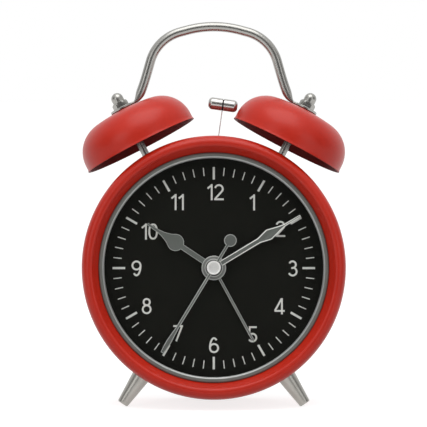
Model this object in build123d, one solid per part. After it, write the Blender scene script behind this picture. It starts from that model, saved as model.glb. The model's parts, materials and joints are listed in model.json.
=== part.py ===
from build123d import *
from math import asin, atan2, cos, degrees, pi, radians, sin, sqrt
import os

os.makedirs("parts", exist_ok=True)

# Twin-bell alarm clock, millimetres.
# Everything is built with the drum axis along Y: y = 0 is the crest of the bezel, y grows towards
# the back, x is to the right and z is up, with the drum axis at x = z = 0. At the very end the
# clock is leaned back on its feet and set down on z = 0.

# Case
case_radius = 59.0
sheet = 0.8
fit = 0.05
gap = 0.3
drum_radius = case_radius - sheet - fit
drum_front = 4.8
drum_rear = 49.5
hem_radius = 0.4
hem_depth = 1.6
bezel_crest_inset = 3.4
bezel_bevel_inset = 5.0
bezel_lip_inset = 7.5
bezel_round = 4.5
bezel_lip_depth = 5.0
bezel_skirt = 9.5
trim_width = 2.6
trim_front = 4.2
hammer_slot_width = 8.0
hammer_slot_depth = 3.2
lens_front = 6.2
lens_thickness = 1.2

# Dial and dial frame
dial_inset = 6.0
dial_opening_step = 0.7
dial_depth = 5.8
dial_thickness = 0.5
frame_rear_land = 1.6
post_inset = 0.4
frame_post_radius = 3.2
frame_post_angles = (80.0, 180.0, 280.0)
frame_screw_radius = 1.25
frame_screw_head = 2.6

# Back cover and battery bay
cover_thickness = 1.6
cover_inset = 1.4
cell_radius = 7.15
cell_length = 50.5
cell_pitch = 14.7
bay_wall = 1.0
bay_end_room = 1.7
bay_side_room = 0.2
bay_rim_room = 0.55
door_overlap = 0.6
door_thickness = 1.4
contact_width = 9.0
contact_strip = 0.4
dimple_foot = 2.8
dimple_tip = 1.4

# Bells and posts
bell_radius = 26.85
bell_flare = 0.3
bell_height = 18.3
bell_wall = 0.8
bell_crown_curve = 90.0
bell_shoulder_curve = 14.2
bell_tilt = 27.3
bell_gap = 17.9
bell_clearance = 5.73
bell_plane = 25.0
bell_post_radius = 1.75
bell_thread_radius = 1.5
thread_fit = 0.08

# Handle
handle_radius = 2.15
handle_rise = 37.74
handle_corner_rise = 32.44
handle_corner_inset = 14.79
handle_crown_half = 6.2
handle_foot_rise = 7.54
handle_foot_inset = 8.39
handle_corner_curve = 17.0
handle_crown_curve = 46.0
eye_thickness = 1.2
eye_radius = 5.6
eye_neck = 7.4
eye_neck_width = 5.0
neck_thickness = 2.6

# Acorn nuts
nut_across_flats = 6.4
nut_hex_height = 2.6
nut_dome_radius = 2.75
nut_height = 7.0

# Feet
foot_angle = 34.0
foot_plane = 18.0
foot_length = 15.2
foot_root_radius = 4.2
foot_tip_radius = 2.5
foot_flat = 0.8
foot_screw_radius = 1.5

# Hammer and its drive
crank_rise = 10.0
pivot_rise = 6.8
hammer_rise = 18.5
hammer_rest = 8.0
hammer_swing = 9.4
wire_radius = 0.4
hammer_length = 13.3
hammer_radius = 2.75
hammer_end_round = 1.9
hammer_groove = 0.3
hammer_groove_half = 0.3
lever_thickness = 1.2
lever_hub_radius = 2.6
pivot_radius = 1.0
running = 0.06
crank_teeth = 24
motor_teeth = 8
drive_module = 0.4
crank_pin_radius = 0.45
bracket_thickness = 1.2
bracket_centre_x = 2.5
bracket_width = 31.0
bracket_shoulder = 5.0
bracket_screw_pitch = 20.0
bracket_screw_radius = 0.9
motor_radius = 7.75
motor_length = 14.6
motor_shaft_radius = 0.5

# Movement
housing_half = 28.0
housing_wall = 1.2
housing_depth = 16.8
housing_split = 10.5
housing_corner = 4.0
bush_radius = 4.0
dial_nut_radius = 5.0
second_arbor_radius = 0.5
minute_tube_radius = 1.2
hour_tube_radius = 1.9
alarm_tube_radius = 2.6
arbor_radius = 0.5
set_arbor_radius = 1.0
knob_radius = 6.0
knob_height = 4.2
knob_gap = 0.6
bridge_side_room = 7.0
bridge_low_room = 11.0
pillar_radius = 1.5
pillar_inset = 3.0
coil_length = 11.0
coil_radius = 1.9
coil_flange_radius = 2.3
coil_flange = 0.5
stator_width = 20.0
stator_below_rotor = 3.9
board_height = 9.0
board_low_room = 3.0
board_left_room = 17.0
board_right_room = 5.0

# Wheel trains: teeth and modules
motion_module = 0.4
minute_pinion_teeth = 10
motion_wheel_teeth = 30
motion_pinion_teeth = 8
hour_wheel_teeth = 32
set_pinion_teeth = 10
alarm_wheel_teeth = 32
alarm_set_teeth = 28
third_module = 0.3
second_pinion_teeth = 8
third_wheel_teeth = 60
third_pinion_teeth = 8
minute_wheel_teeth = 64
step_module = 0.25
step_pinion_teeth = 10
second_wheel_teeth = 60
rotor_module = 0.3
rotor_teeth = 8
step_wheel_teeth = 40
motion_bearing = 60.0
alarm_bearing = -60.0
third_bearing = 200.0
step_bearing = 0.0
rotor_bearing = 30.0

# Hands (clock angles, and lengths from the centre)
hour_angle = 303.6
minute_angle = 58.9
second_angle = 211.3
alarm_angle = 151.4
hour_length = 35.7
minute_length = 45.3
second_length = 44.5
alarm_length = 38.0
hand_thickness = 0.4

# Alarm switch
switch_z = 22.0
switch_travel = 5.0
switch_rest = -2.5
switch_width = 3.2

# Radii that follow from the case
bezel_crest_radius = case_radius - bezel_crest_inset
bezel_bevel_radius = case_radius - bezel_bevel_inset
bezel_lip_radius = case_radius - bezel_lip_inset
trim_inner_radius = bezel_lip_radius - trim_width
dial_radius = case_radius - dial_inset
dial_opening_radius = trim_inner_radius + dial_opening_step
post_circle = dial_radius - post_inset

# Places of the bells, the handle and the hammer's drive
bell_offset_x = bell_radius * cos(radians(bell_tilt)) + bell_gap / 2
bell_offset_z = sqrt((case_radius + bell_clearance) ** 2 - bell_offset_x**2)
bell_crown_x = bell_offset_x + bell_height * sin(radians(bell_tilt))
bell_crown_z = bell_offset_z + bell_height * cos(radians(bell_tilt))
handle_top = bell_crown_z + handle_rise
handle_corner_x = bell_crown_x - handle_corner_inset
handle_corner_z = bell_crown_z + handle_corner_rise
handle_foot_x = bell_crown_x - handle_foot_inset
handle_foot_z = bell_crown_z + handle_foot_rise
crank_centre_z = housing_half + crank_rise
hammer_pivot_z = crank_centre_z + pivot_rise
hammer_reach = (bell_offset_z + hammer_rise - hammer_pivot_z) / cos(radians(hammer_rest))

# Depths that follow from the sizes above
lens_back = lens_front + lens_thickness
dial_front = lens_back + dial_depth
dial_back = dial_front + dial_thickness
frame_back = dial_back + frame_rear_land
cover_back = drum_rear - cover_inset
cover_front = cover_back - cover_thickness
movement_back = dial_back + housing_depth
hem_opening = drum_radius - sheet - hem_depth
cover_radius = hem_opening - 0.2
door_back = cover_back
door_front = door_back - door_thickness
cell_plane = door_front - 0.25 - cell_radius
bay_floor = cell_plane - cell_radius - 0.15
drum_inner = drum_radius - sheet
bay_length = cell_length + 2 * bay_end_room
bay_height = cell_pitch + 2 * cell_radius + 2 * bay_side_room
bay_centre = bay_height / 2 + bay_wall - sqrt(
    (cover_radius - bay_rim_room) ** 2 - (bay_length / 2 + bay_wall) ** 2
)

# Layers of the wheels behind the dial
layer_front = dial_back + housing_wall
alarm_layer = layer_front + 0.3
hour_layer = alarm_layer + 1.0
motion_layer = hour_layer + 1.2
minute_layer = motion_layer + 1.1
bridge_layer = minute_layer + 1.1
third_layer = bridge_layer + 1.2
second_layer = third_layer + 1.1
step_layer = second_layer + 1.1
stator_layer = step_layer + 1.6
wheel_thickness = 0.6


def clock_point(radius, bearing):
    """Point in the dial plane at a clock angle, clockwise from 12."""
    return radius * sin(radians(bearing)), radius * cos(radians(bearing))


def along_y(y, x=0.0, z=0.0):
    """Work plane at depth y whose sketch axes are x and z and whose extrusions run forward."""
    return Plane(origin=(x, y, z), x_dir=(1, 0, 0), z_dir=(0, -1, 0))


def plate(sketch, y_front, y_back):
    """Solid from a sketch in x and z, between two depths."""
    return along_y(y_back) * extrude(sketch, y_back - y_front)


def rod_y(radius, y_front, y_back, x=0.0, z=0.0):
    """Round bar along Y."""
    return plate(Pos(x, z) * Circle(radius), y_front, y_back)


def turned(points):
    """Solid of revolution about the drum axis from (radius, depth) points."""
    return revolve(make_face(Polyline(*[(r, y, 0) for r, y in points], close=True)), Axis.Y)


def turned_curves(curves):
    """Solid of revolution about the drum axis from joined lines and curves in (radius, depth)."""
    return revolve(make_face(curves), Axis.Y)


def gear_sketch(teeth, module, bearing=0.0, addendum=0.85, dedendum=1.15):
    """Toothed outline with straight flanks; one tooth is centred on the clock angle given."""
    pitch = teeth * module / 2
    tip = pitch + addendum * module
    root = pitch - dedendum * module
    root_half = 0.78 * module
    tip_half = 0.28 * module
    points = []
    for index in range(teeth):
        centre = bearing + 360 * index / teeth
        for radius, half in ((root, -root_half), (tip, -tip_half), (tip, tip_half), (root, root_half)):
            points.append(clock_point(radius, centre + degrees(half / radius)))
    return make_face(Polyline(*points, close=True))


def gear(teeth, module, bearing, y_front, y_back):
    return plate(gear_sketch(teeth, module, bearing), y_front, y_back)


def mesh_bearing(bearing, teeth, partner_teeth, direction):
    """Tooth angle of the partner wheel that stands in mesh, in the direction of its centre."""
    step = 360 / teeth
    offset = (bearing - direction + step / 2) % step - step / 2
    return direction + 180 + 180 / partner_teeth - offset * teeth / partner_teeth


def moved(solid, point):
    return Pos(point[0], 0, point[1]) * solid


# Wheel centres
motion_distance = motion_module * (minute_pinion_teeth + motion_wheel_teeth) / 2
motion_centre = clock_point(motion_distance, motion_bearing)
set_distance = motion_module * (motion_wheel_teeth + set_pinion_teeth) / 2
set_centre = clock_point(motion_distance + set_distance, motion_bearing)
alarm_distance = motion_module * (alarm_wheel_teeth + alarm_set_teeth) / 2
alarm_centre = clock_point(alarm_distance, alarm_bearing)
hour_module = 2 * motion_distance / (motion_pinion_teeth + hour_wheel_teeth)
third_distance = third_module * (second_pinion_teeth + third_wheel_teeth) / 2
third_centre = clock_point(third_distance, third_bearing)
minute_module = 2 * third_distance / (third_pinion_teeth + minute_wheel_teeth)
step_distance = step_module * (step_pinion_teeth + second_wheel_teeth) / 2
step_centre = clock_point(step_distance, step_bearing)
rotor_distance = rotor_module * (rotor_teeth + step_wheel_teeth) / 2
rotor_offset = clock_point(rotor_distance, rotor_bearing)
rotor_centre = (step_centre[0] + rotor_offset[0], step_centre[1] + rotor_offset[1])
motor_distance = drive_module * (crank_teeth + motor_teeth) / 2
motor_centre = (motor_distance, crank_centre_z)

# Tooth angles at rest
minute_pinion_phase = minute_angle
motion_phase = mesh_bearing(minute_pinion_phase, minute_pinion_teeth, motion_wheel_teeth, motion_bearing)
motion_pinion_phase = motion_phase
hour_phase = mesh_bearing(
    motion_pinion_phase, motion_pinion_teeth, hour_wheel_teeth, motion_bearing + 180
)
set_phase = mesh_bearing(motion_phase, motion_wheel_teeth, set_pinion_teeth, motion_bearing)
minute_wheel_phase = minute_angle
third_pinion_phase = mesh_bearing(
    minute_wheel_phase, minute_wheel_teeth, third_pinion_teeth, third_bearing
)
third_wheel_phase = third_pinion_phase
second_pinion_phase = mesh_bearing(
    third_wheel_phase, third_wheel_teeth, second_pinion_teeth, third_bearing + 180
)
second_wheel_phase = second_pinion_phase
step_pinion_phase = mesh_bearing(
    second_wheel_phase, second_wheel_teeth, step_pinion_teeth, step_bearing
)
step_wheel_phase = step_pinion_phase
rotor_phase = mesh_bearing(step_wheel_phase, step_wheel_teeth, rotor_teeth, rotor_bearing)
alarm_wheel_phase = alarm_angle
alarm_set_phase = mesh_bearing(
    alarm_wheel_phase, alarm_wheel_teeth, alarm_set_teeth, alarm_bearing
)
crank_pin_offset = hammer_pivot_z - crank_centre_z
crank_throw = crank_pin_offset * sin(radians(hammer_swing))
lever_pin_reach = crank_pin_offset * cos(radians(hammer_rest)) + sqrt(
    crank_throw**2 - (crank_pin_offset * sin(radians(hammer_rest))) ** 2
)
crank_pin = (
    -lever_pin_reach * sin(radians(hammer_rest)),
    hammer_pivot_z - lever_pin_reach * cos(radians(hammer_rest)),
)
crank_phase = degrees(atan2(crank_pin[0], crank_pin[1] - crank_centre_z))
motor_phase = mesh_bearing(crank_phase, crank_teeth, motor_teeth, 90)

# Depths of the bell drive, about the plane of the bells
lever_back = bell_plane + lever_thickness / 2
crank_pin_front = lever_back + gap
crank_front = crank_pin_front + 0.7
crank_gear_front = crank_front + 0.6
crank_back = crank_gear_front + 0.8
bracket_front = crank_back + 0.4
bracket_back = bracket_front + bracket_thickness


# ---------------------------------------------------------------- case
def make_drum():
    r = drum_radius
    shell = turned([
        (r, drum_front),
        (r, drum_rear - hem_radius),
        (r - hem_radius, drum_rear),
        (hem_opening, drum_rear),
        (hem_opening, drum_rear - sheet),
        (r - sheet, drum_rear - sheet),
        (r - sheet, drum_front),
    ])
    slot = Pos(0, bell_plane, r) * Box(hammer_slot_width, hammer_slot_depth, 8.0)
    shell -= slot
    for side in (-1, 1):
        shell -= bell_frame(side) * Pos(0, 0, -10) * Cylinder(bell_thread_radius + thread_fit, 30)
        shell -= foot_frame(side) * Cylinder(foot_screw_radius + thread_fit, 12)
    return shell


def make_bezel():
    """Front ring: a skirt over the drum, a round shoulder, and a bevel down to the trim ring."""
    crest = bezel_crest_radius
    lip = bezel_lip_radius
    wall = case_radius - sheet
    return turned_curves([
        Line((case_radius, bezel_skirt), (case_radius, bezel_round)),
        Spline(
            (case_radius, bezel_round), (case_radius - 1.2, bezel_round * 0.24), (crest, 0.0),
            tangents=((0, -1), (-1, 0)),
        ),
        Spline(
            (crest, 0.0), (bezel_bevel_radius, 0.7), (lip, bezel_lip_depth),
            tangents=((-1, 0), (-0.45, 1)),
        ),
        Line((lip, bezel_lip_depth), (lip + 0.45, bezel_lip_depth + 0.3)),
        Spline(
            (lip + 0.45, bezel_lip_depth + 0.3), (bezel_bevel_radius + 0.65, 1.45), (crest, sheet),
            tangents=((0.45, -1), (1, 0)),
        ),
        Spline(
            (crest, sheet), (case_radius - 1.75, bezel_round * 0.24 + sheet * 0.8), (wall, bezel_round),
            tangents=((1, 0), (0, 1)),
        ),
        Line((wall, bezel_round), (wall, bezel_skirt)),
        Line((wall, bezel_skirt), (case_radius, bezel_skirt)),
    ])


def make_trim_ring():
    """Bright half-round ring that holds the lens down."""
    rim = bezel_lip_radius - 0.2
    foot = bezel_lip_depth + 0.45
    land = dial_radius - 0.2
    mid = (trim_inner_radius + rim) / 2
    return turned_curves([
        Line((trim_inner_radius, lens_front), (trim_inner_radius, trim_front + 1.0)),
        ThreePointArc((trim_inner_radius, trim_front + 1.0), (mid, trim_front), (rim, foot)),
        Line((rim, foot), (land, foot)),
        Line((land, foot), (land, lens_front)),
        Line((land, lens_front), (trim_inner_radius, lens_front)),
    ])


def make_lens():
    return rod_y(dial_radius - 0.1, lens_front, lens_back)


def make_dial_frame():
    """Moulded ring that carries lens and dial, with three posts for the back cover."""
    outer = drum_inner - 0.15
    ring = turned([
        (outer, lens_front),
        (outer, frame_back),
        (dial_radius + 0.2, frame_back),
        (dial_radius + 0.2, dial_front),
        (dial_opening_radius, dial_front),
        (dial_opening_radius, lens_back),
        (dial_radius, lens_back),
        (dial_radius, lens_front),
    ])
    for bearing in frame_post_angles:
        x, z = clock_point(post_circle, bearing)
        ring += rod_y(frame_post_radius, dial_back, cover_front, x, z)
        ring -= rod_y(frame_screw_radius + fit, cover_front - 9, cover_front + 1, x, z)
    return ring


def make_dial():
    return rod_y(dial_radius, dial_front, dial_back) - rod_y(bush_radius + 0.1, dial_front - 1, dial_back + 1)


def make_back_cover():
    cover = rod_y(cover_radius, cover_front, cover_back)
    length, height = bay_length, bay_height
    bay = Pos(0, (bay_floor - bay_wall + cover_front) / 2, bay_centre) * Box(
        length + 2 * bay_wall, cover_front - bay_floor + bay_wall, height + 2 * bay_wall
    )
    room = Pos(0, (bay_floor + cover_back) / 2 + 1, bay_centre) * Box(
        length, cover_back - bay_floor + 2, height
    )
    seat = Pos(0, (door_front + cover_back) / 2 + 1, bay_centre) * Box(
        length + 2 * door_overlap, cover_back - door_front + 2, height + 2 * door_overlap
    )
    cover = cover + bay - room - seat
    for point in (set_centre, alarm_centre):
        cover -= rod_y(set_arbor_radius + 0.4, cover_front - 1, cover_back + 1, *point)
    cover -= Pos(switch_rest + switch_travel / 2, cover_back, switch_z) * Box(
        switch_travel + switch_width + 0.8, 8, switch_width + 0.4
    )
    for bearing in frame_post_angles:
        place = clock_point(post_circle, bearing)
        cover -= rod_y(frame_screw_radius + 0.2, cover_front - 1, cover_back + 1, *place)
    return cover


def make_back_screws():
    screws = []
    for bearing in frame_post_angles:
        x, z = clock_point(post_circle, bearing)
        head = rod_y(frame_screw_head, cover_back, cover_back + 1.2, x, z)
        head = fillet(head.edges().group_by(Axis.Y)[-1], 0.5)
        head += rod_y(frame_screw_radius, cover_front - 7, cover_back, x, z)
        cross = Pos(x, cover_back + 1.2, z) * (Box(2.6, 1.4, 0.6) + Box(0.6, 1.4, 2.6))
        screws.append(head - cross)
    return Compound(screws)


def make_battery_door():
    width = bay_length + 2 * door_overlap - 0.4
    tall = bay_height + 2 * door_overlap - 0.4
    door = Pos(0, (door_front + door_back) / 2, bay_centre) * Box(width, door_thickness, tall)
    door = fillet(door.edges().filter_by(Axis.Y), 0.15)
    for index in range(3):
        groove = Pos(0, door_back, bay_centre + tall / 2 - 3 - 1.6 * index) * Box(12, 0.8, 0.7)
        door -= groove
    return door


def make_cell(row, pole):
    """Round cell lying along X, with its button end to the side given."""
    centre = bay_centre + row * cell_pitch / 2
    body = Pos(-pole * 0.6, cell_plane, centre) * Rot(0, 90, 0) * Cylinder(cell_radius, cell_length - 1.2)
    body = fillet(body.edges(), 0.5)
    nub = Pos(pole * (cell_length / 2 - 0.9), cell_plane, centre) * Rot(0, 90, 0) * Cylinder(2.7, 1.8)
    return body + nub


def make_battery_contacts():
    """Spring strips at both ends of the bay, each with a pressed dimple towards its cell."""
    strips = []
    for side in (-1, 1):
        wall = side * (bay_length - contact_strip) / 2
        for row in (-1, 1):
            centre = bay_centre + row * cell_pitch / 2
            strip = Pos(wall, cell_plane, centre) * Box(contact_strip, contact_width, contact_width)
            reach = bay_end_room - contact_strip - fit
            place = Pos(side * (bay_length / 2 - contact_strip - reach / 2), cell_plane, centre)
            strip += place * Rot(0, 90 * side, 0) * Cone(dimple_foot, dimple_tip, reach, rotation=(180, 0, 0))
            strips.append(strip)
    return Compound(strips)


# ---------------------------------------------------------------- hands
def hand_blank(outline, y_front, bearing):
    return Rot(0, bearing, 0) * plate(outline, y_front, y_front + hand_thickness)


hand_step = 0.45
second_front = dial_front - 4.3
minute_front = second_front + hand_thickness + hand_step
hour_front = minute_front + hand_thickness + hand_step
alarm_front = hour_front + hand_thickness + hand_step
cap_front = second_front - 0.85
dial_nut_front = alarm_front + hand_thickness + 0.25


def make_second_hand():
    outline = make_face(Polyline(
        (-0.62, -12), (-0.85, 0), (-0.85, 10), (-1.05, second_length), (1.05, second_length),
        (0.85, 10), (0.85, 0), (0.62, -12), close=True,
    ))
    outline += Pos(0, -14.3) * Circle(2.8)
    outline += Circle(2.2)
    hand = hand_blank(outline, second_front, second_angle)
    return hand - rod_y(second_arbor_radius, second_front - 1, second_front + 2)


def make_hand_cap():
    base = second_front
    sphere_radius = (3.17**2 + 0.85**2) / (2 * 0.85)
    dome = Pos(0, base - 0.85 + sphere_radius, 0) * Sphere(sphere_radius)
    return dome & rod_y(3.17, base - 2, base)


def blade(stations):
    """Symmetric flat outline from (distance from the centre, half width) stations."""
    left = [(-half, reach) for reach, half in stations]
    right = [(half, reach) for reach, half in reversed(stations)]
    return make_face(Polyline(*left, *right, close=True))


def make_minute_hand():
    """Slim hand that swells to a lance head and runs out to a fine tip."""
    head = [
        (0.52 * minute_length, 1.2), (0.638 * minute_length, 2.5), (0.762 * minute_length, 1.05),
        (0.817 * minute_length, 0.6), (minute_length, 0.45),
    ]
    hand = plate(blade([(0, 1.15)] + head) + Circle(4.1), minute_front, minute_front + hand_thickness)
    lance = plate(blade(head[:4]), minute_front, minute_front + hand_thickness)
    bevel = chamfer(lance.faces().sort_by(Axis.Y)[0].edges().filter_by(lambda e: e.length > 2.5), 0.3, 0.4)
    hand = Rot(0, minute_angle, 0) * (hand - (lance - bevel))
    hub = rod_y(4.1, minute_front - 0.25, minute_front + hand_thickness)
    return hand + hub - rod_y(minute_tube_radius, minute_front - 2, minute_front + 2)


def make_hour_hand():
    """Thin stem, round bulb and a concave taper to a needle point."""
    bulb_z = 0.577 * hour_length
    bulb_r = 3.8
    spear = blade([
        (bulb_z + 2.5, 2.86), (bulb_z + 3.6, 2.2), (bulb_z + 5.2, 1.65), (bulb_z + 7.0, 1.1),
        (bulb_z + 9.1, 0.77), (hour_length, 0.5),
    ])
    stem = Pos(0, bulb_z / 2) * Rectangle(2.4, bulb_z)
    outline = stem + Pos(0, bulb_z) * Circle(bulb_r) + spear + Circle(5.5)
    hand = hand_blank(outline, hour_front, hour_angle)
    hub = rod_y(5.5, hour_front - 0.2, hour_front + hand_thickness)
    return hand + hub - rod_y(hour_tube_radius, hour_front - 2, hour_front + 2)


def make_alarm_hand():
    outline = make_face(Polyline(
        (-0.5, 0), (-0.5, alarm_length - 2), (0, alarm_length), (0.5, alarm_length - 2), (0.5, 0),
        close=True,
    )) + Circle(4.4)
    hand = hand_blank(outline, alarm_front, alarm_angle)
    return hand - rod_y(alarm_tube_radius, alarm_front - 2, alarm_front + 2)


# ---------------------------------------------------------------- movement
def make_movement_front():
    """Front half of the movement case: plate, side walls and the threaded centre bush."""
    split = dial_back + housing_split
    size = 2 * housing_half
    body = plate(RectangleRounded(size, size, housing_corner), dial_back, split)
    inner = size - 2 * housing_wall
    body -= plate(RectangleRounded(inner, inner, housing_corner - 1.0), layer_front, split + 1)
    body += rod_y(bush_radius, dial_nut_front + 0.1, dial_back + 0.1)
    body -= rod_y(alarm_tube_radius + running, dial_nut_front - 1, layer_front + 1)
    body += rod_y(arbor_radius, layer_front - 0.2, minute_layer - 0.15, *motion_centre)
    return body


def make_dial_nut():
    hexagon = RegularPolygon(dial_nut_radius, 6)
    nut = plate(hexagon, dial_nut_front, dial_front)
    return nut - rod_y(bush_radius + fit, dial_nut_front - 1, dial_front + 1)


def bearings():
    """Centre and bore radius of each bearing boss on the rear of the movement."""
    return (
        ((0.0, 0.0), second_arbor_radius),
        (third_centre, arbor_radius),
        (step_centre, arbor_radius),
        (rotor_centre, arbor_radius),
    )


def make_movement_rear():
    split = dial_back + housing_split
    size = 2 * housing_half
    body = plate(RectangleRounded(size, size, housing_corner), split, movement_back)
    inner = size - 2 * housing_wall
    body -= plate(RectangleRounded(inner, inner, housing_corner - 1.0), split - 1, movement_back - housing_wall)
    for centre, radius in bearings():
        body += rod_y(radius + 1.1, movement_back - 4.4, movement_back - 0.5, *centre)
        body -= rod_y(radius + running, movement_back - 5, movement_back - 2.2, *centre)
    for centre in (set_centre, alarm_centre):
        body += rod_y(set_arbor_radius + 1.4, stator_layer + 1, movement_back + 2.4, *centre)
        body -= rod_y(set_arbor_radius + running, stator_layer - 1, movement_back + 4, *centre)
    for x in bracket_screw_places():
        body -= Pos(x, bracket_foot_middle(), housing_half) * Cylinder(bracket_screw_radius + fit, 6)
    return body


def bracket_foot_middle():
    return (dial_back + housing_split + bracket_front) / 2


def bracket_screw_places():
    return bracket_centre_x - bracket_screw_pitch / 2, bracket_centre_x + bracket_screw_pitch / 2


def make_train_bridge():
    """Middle plate on four pillars; it carries the arbors behind the minute wheel."""
    side = housing_half - bridge_side_room
    low, high = bridge_low_room - housing_half, housing_half - bridge_side_room
    outline = Pos(0, (low + high) / 2) * RectangleRounded(2 * side, high - low, pillar_inset)
    body = plate(outline, bridge_layer, bridge_layer + 0.8)
    for x in (pillar_inset - side, side - pillar_inset):
        for z in (low + pillar_inset, high - pillar_inset):
            body += rod_y(pillar_radius, layer_front, bridge_layer + 0.4, x, z)
    for centre, radius in bearings():
        body -= rod_y(radius + running, bridge_layer - 1, bridge_layer + 2, *centre)
    for centre in (set_centre, alarm_centre):
        body -= rod_y(set_arbor_radius + running, bridge_layer - 1, bridge_layer + 2, *centre)
    return body


def make_minute_wheel():
    """Driven wheel, cannon pinion and the tube that carries the minute hand."""
    body = gear(minute_wheel_teeth, minute_module, minute_wheel_phase, minute_layer, minute_layer + wheel_thickness)
    body += gear(minute_pinion_teeth, motion_module, minute_pinion_phase, motion_layer - 0.1,
                 minute_layer + 0.1)
    body += rod_y(minute_tube_radius, minute_front - 0.2, minute_layer + wheel_thickness + 0.2)
    return body - rod_y(second_arbor_radius + running, minute_front - 2, minute_layer + 3)


def make_hour_wheel():
    body = gear(hour_wheel_teeth, hour_module, hour_phase, hour_layer, hour_layer + wheel_thickness)
    body += rod_y(hour_tube_radius, hour_front - 0.15, hour_layer + 0.7)
    return body - rod_y(minute_tube_radius + running, hour_front - 2, hour_layer + 3)


def make_alarm_wheel():
    body = gear(alarm_wheel_teeth, motion_module, alarm_wheel_phase, alarm_layer, alarm_layer + wheel_thickness)
    body += rod_y(alarm_tube_radius, alarm_front - 0.1, alarm_layer + 0.2)
    return body - rod_y(hour_tube_radius + running, alarm_front - 2, alarm_layer + 2)


def make_motion_wheel():
    body = gear(motion_wheel_teeth, motion_module, motion_phase, motion_layer, motion_layer + wheel_thickness)
    body += gear(motion_pinion_teeth, hour_module, motion_pinion_phase, hour_layer - 0.1, motion_layer + 0.1)
    body -= rod_y(arbor_radius + running, hour_layer - 1, motion_layer + 2)
    return moved(body, motion_centre)


def make_second_wheel():
    body = gear(second_wheel_teeth, step_module, second_wheel_phase, second_layer, second_layer + wheel_thickness)
    body += gear(second_pinion_teeth, third_module, second_pinion_phase, third_layer - 0.1,
                 second_layer + 0.1)
    return body + rod_y(second_arbor_radius, second_front, movement_back - 2.4)


def make_third_wheel():
    body = gear(third_wheel_teeth, third_module, third_wheel_phase, third_layer, third_layer + wheel_thickness)
    body += gear(third_pinion_teeth, minute_module, third_pinion_phase, minute_layer - 0.1,
                 minute_layer + wheel_thickness + 0.1)
    body += rod_y(arbor_radius, layer_front + 0.3, movement_back - 2.4)
    return moved(body, third_centre)


def make_step_wheel():
    body = gear(step_wheel_teeth, rotor_module, step_wheel_phase, step_layer, step_layer + wheel_thickness)
    body += gear(step_pinion_teeth, step_module, step_pinion_phase, second_layer - 0.1, step_layer + 0.1)
    body += rod_y(arbor_radius, bridge_layer, movement_back - 2.4)
    return moved(body, step_centre)


def make_rotor():
    body = gear(rotor_teeth, rotor_module, rotor_phase, step_layer - 0.1, step_layer + wheel_thickness + 0.1)
    body += rod_y(2.6, stator_layer - 0.4, stator_layer + 1.2)
    body += rod_y(arbor_radius, bridge_layer, movement_back - 2.4)
    return moved(body, rotor_centre)


def coil_height():
    """Height of the coil above the centre arbor, just under the top wall of the movement."""
    return housing_half - housing_wall - coil_flange_radius - gap


def make_stator():
    """Soft-iron plate round the rotor, with the core bar that runs through the coil."""
    x, z = rotor_centre
    low, high = z - stator_below_rotor, coil_height() - coil_flange_radius - 0.2
    plate_shape = Pos(x, (low + high) / 2) * RectangleRounded(stator_width, high - low, 2)
    plate_shape -= Pos(x, z) * Circle(3.0)
    arm_low, arm_high = high - 3.2, coil_height() + coil_flange_radius
    for side in (-1, 1):
        arm = Rectangle(3, arm_high - arm_low)
        plate_shape += Pos(x + side * (stator_width / 2 - 1.5), (arm_low + arm_high) / 2) * arm
    body = plate(plate_shape, stator_layer, stator_layer + 0.8)
    core = Pos(x, stator_layer + 0.4, coil_height()) * Rot(0, 90, 0) * Cylinder(0.8, coil_length + 4)
    return body + core


def make_coil():
    winding = Cylinder(coil_radius, coil_length)
    for side in (-1, 1):
        cheek = Cylinder(coil_flange_radius, coil_flange)
        winding += Pos(0, 0, side * (coil_length + coil_flange) / 2) * cheek
    winding -= Cylinder(0.8 + fit, coil_length + 9)
    return Pos(rotor_centre[0], stator_layer + 0.4, coil_height()) * Rot(0, 90, 0) * winding


def make_circuit_board():
    """Board with the clock chip under its blob and the quartz in its can."""
    left, right = board_left_room - housing_half, housing_half - board_right_room
    middle = board_low_room + board_height / 2 - housing_half
    front, back = movement_back - 4.4, movement_back - 3.4
    board = plate(Pos((left + right) / 2, middle) * Rectangle(right - left, board_height), front, back)
    board += Pos(left + 11, front, middle) * (Sphere(2.6) & Pos(0, -1.5, 0) * Box(6, 3.0, 6))
    can = Pos(right - 9, front - 0.9, middle) * Rot(0, 90, 0) * Cylinder(1.0, 6.0)
    legs = Pos(right - 10.4, front - 0.2, middle) * Box(2.0, 1.0, 1.0)
    for x in (left + 2, right - 2):
        board += rod_y(1.2, back - 0.1, movement_back - housing_wall, x, middle)
    return board + can + legs


def make_set_arbor(centre, teeth, bearing, layer):
    body = gear(teeth, motion_module, bearing, layer - 0.1, layer + wheel_thickness + 0.1)
    body += rod_y(set_arbor_radius, layer - 0.1, cover_back + knob_gap + knob_height - 1.0)
    return moved(body, centre)


def make_knob(centre):
    """Fluted knob, pushed on its arbor."""
    front = cover_back + knob_gap
    back = front + knob_height
    body = rod_y(knob_radius, front, back)
    body = chamfer(body.edges().group_by(Axis.Y)[-1], 0.5)
    flute = rod_y(0.55, front - 1, back + 1, 0, knob_radius + 0.2)
    for index in range(18):
        body -= Rot(0, 20 * index, 0) * flute
    body -= rod_y(knob_radius - 2.2, back - 0.6, back + 1)
    body -= rod_y(set_arbor_radius, front - 1, back - 1.0)
    return moved(body, centre)


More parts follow.
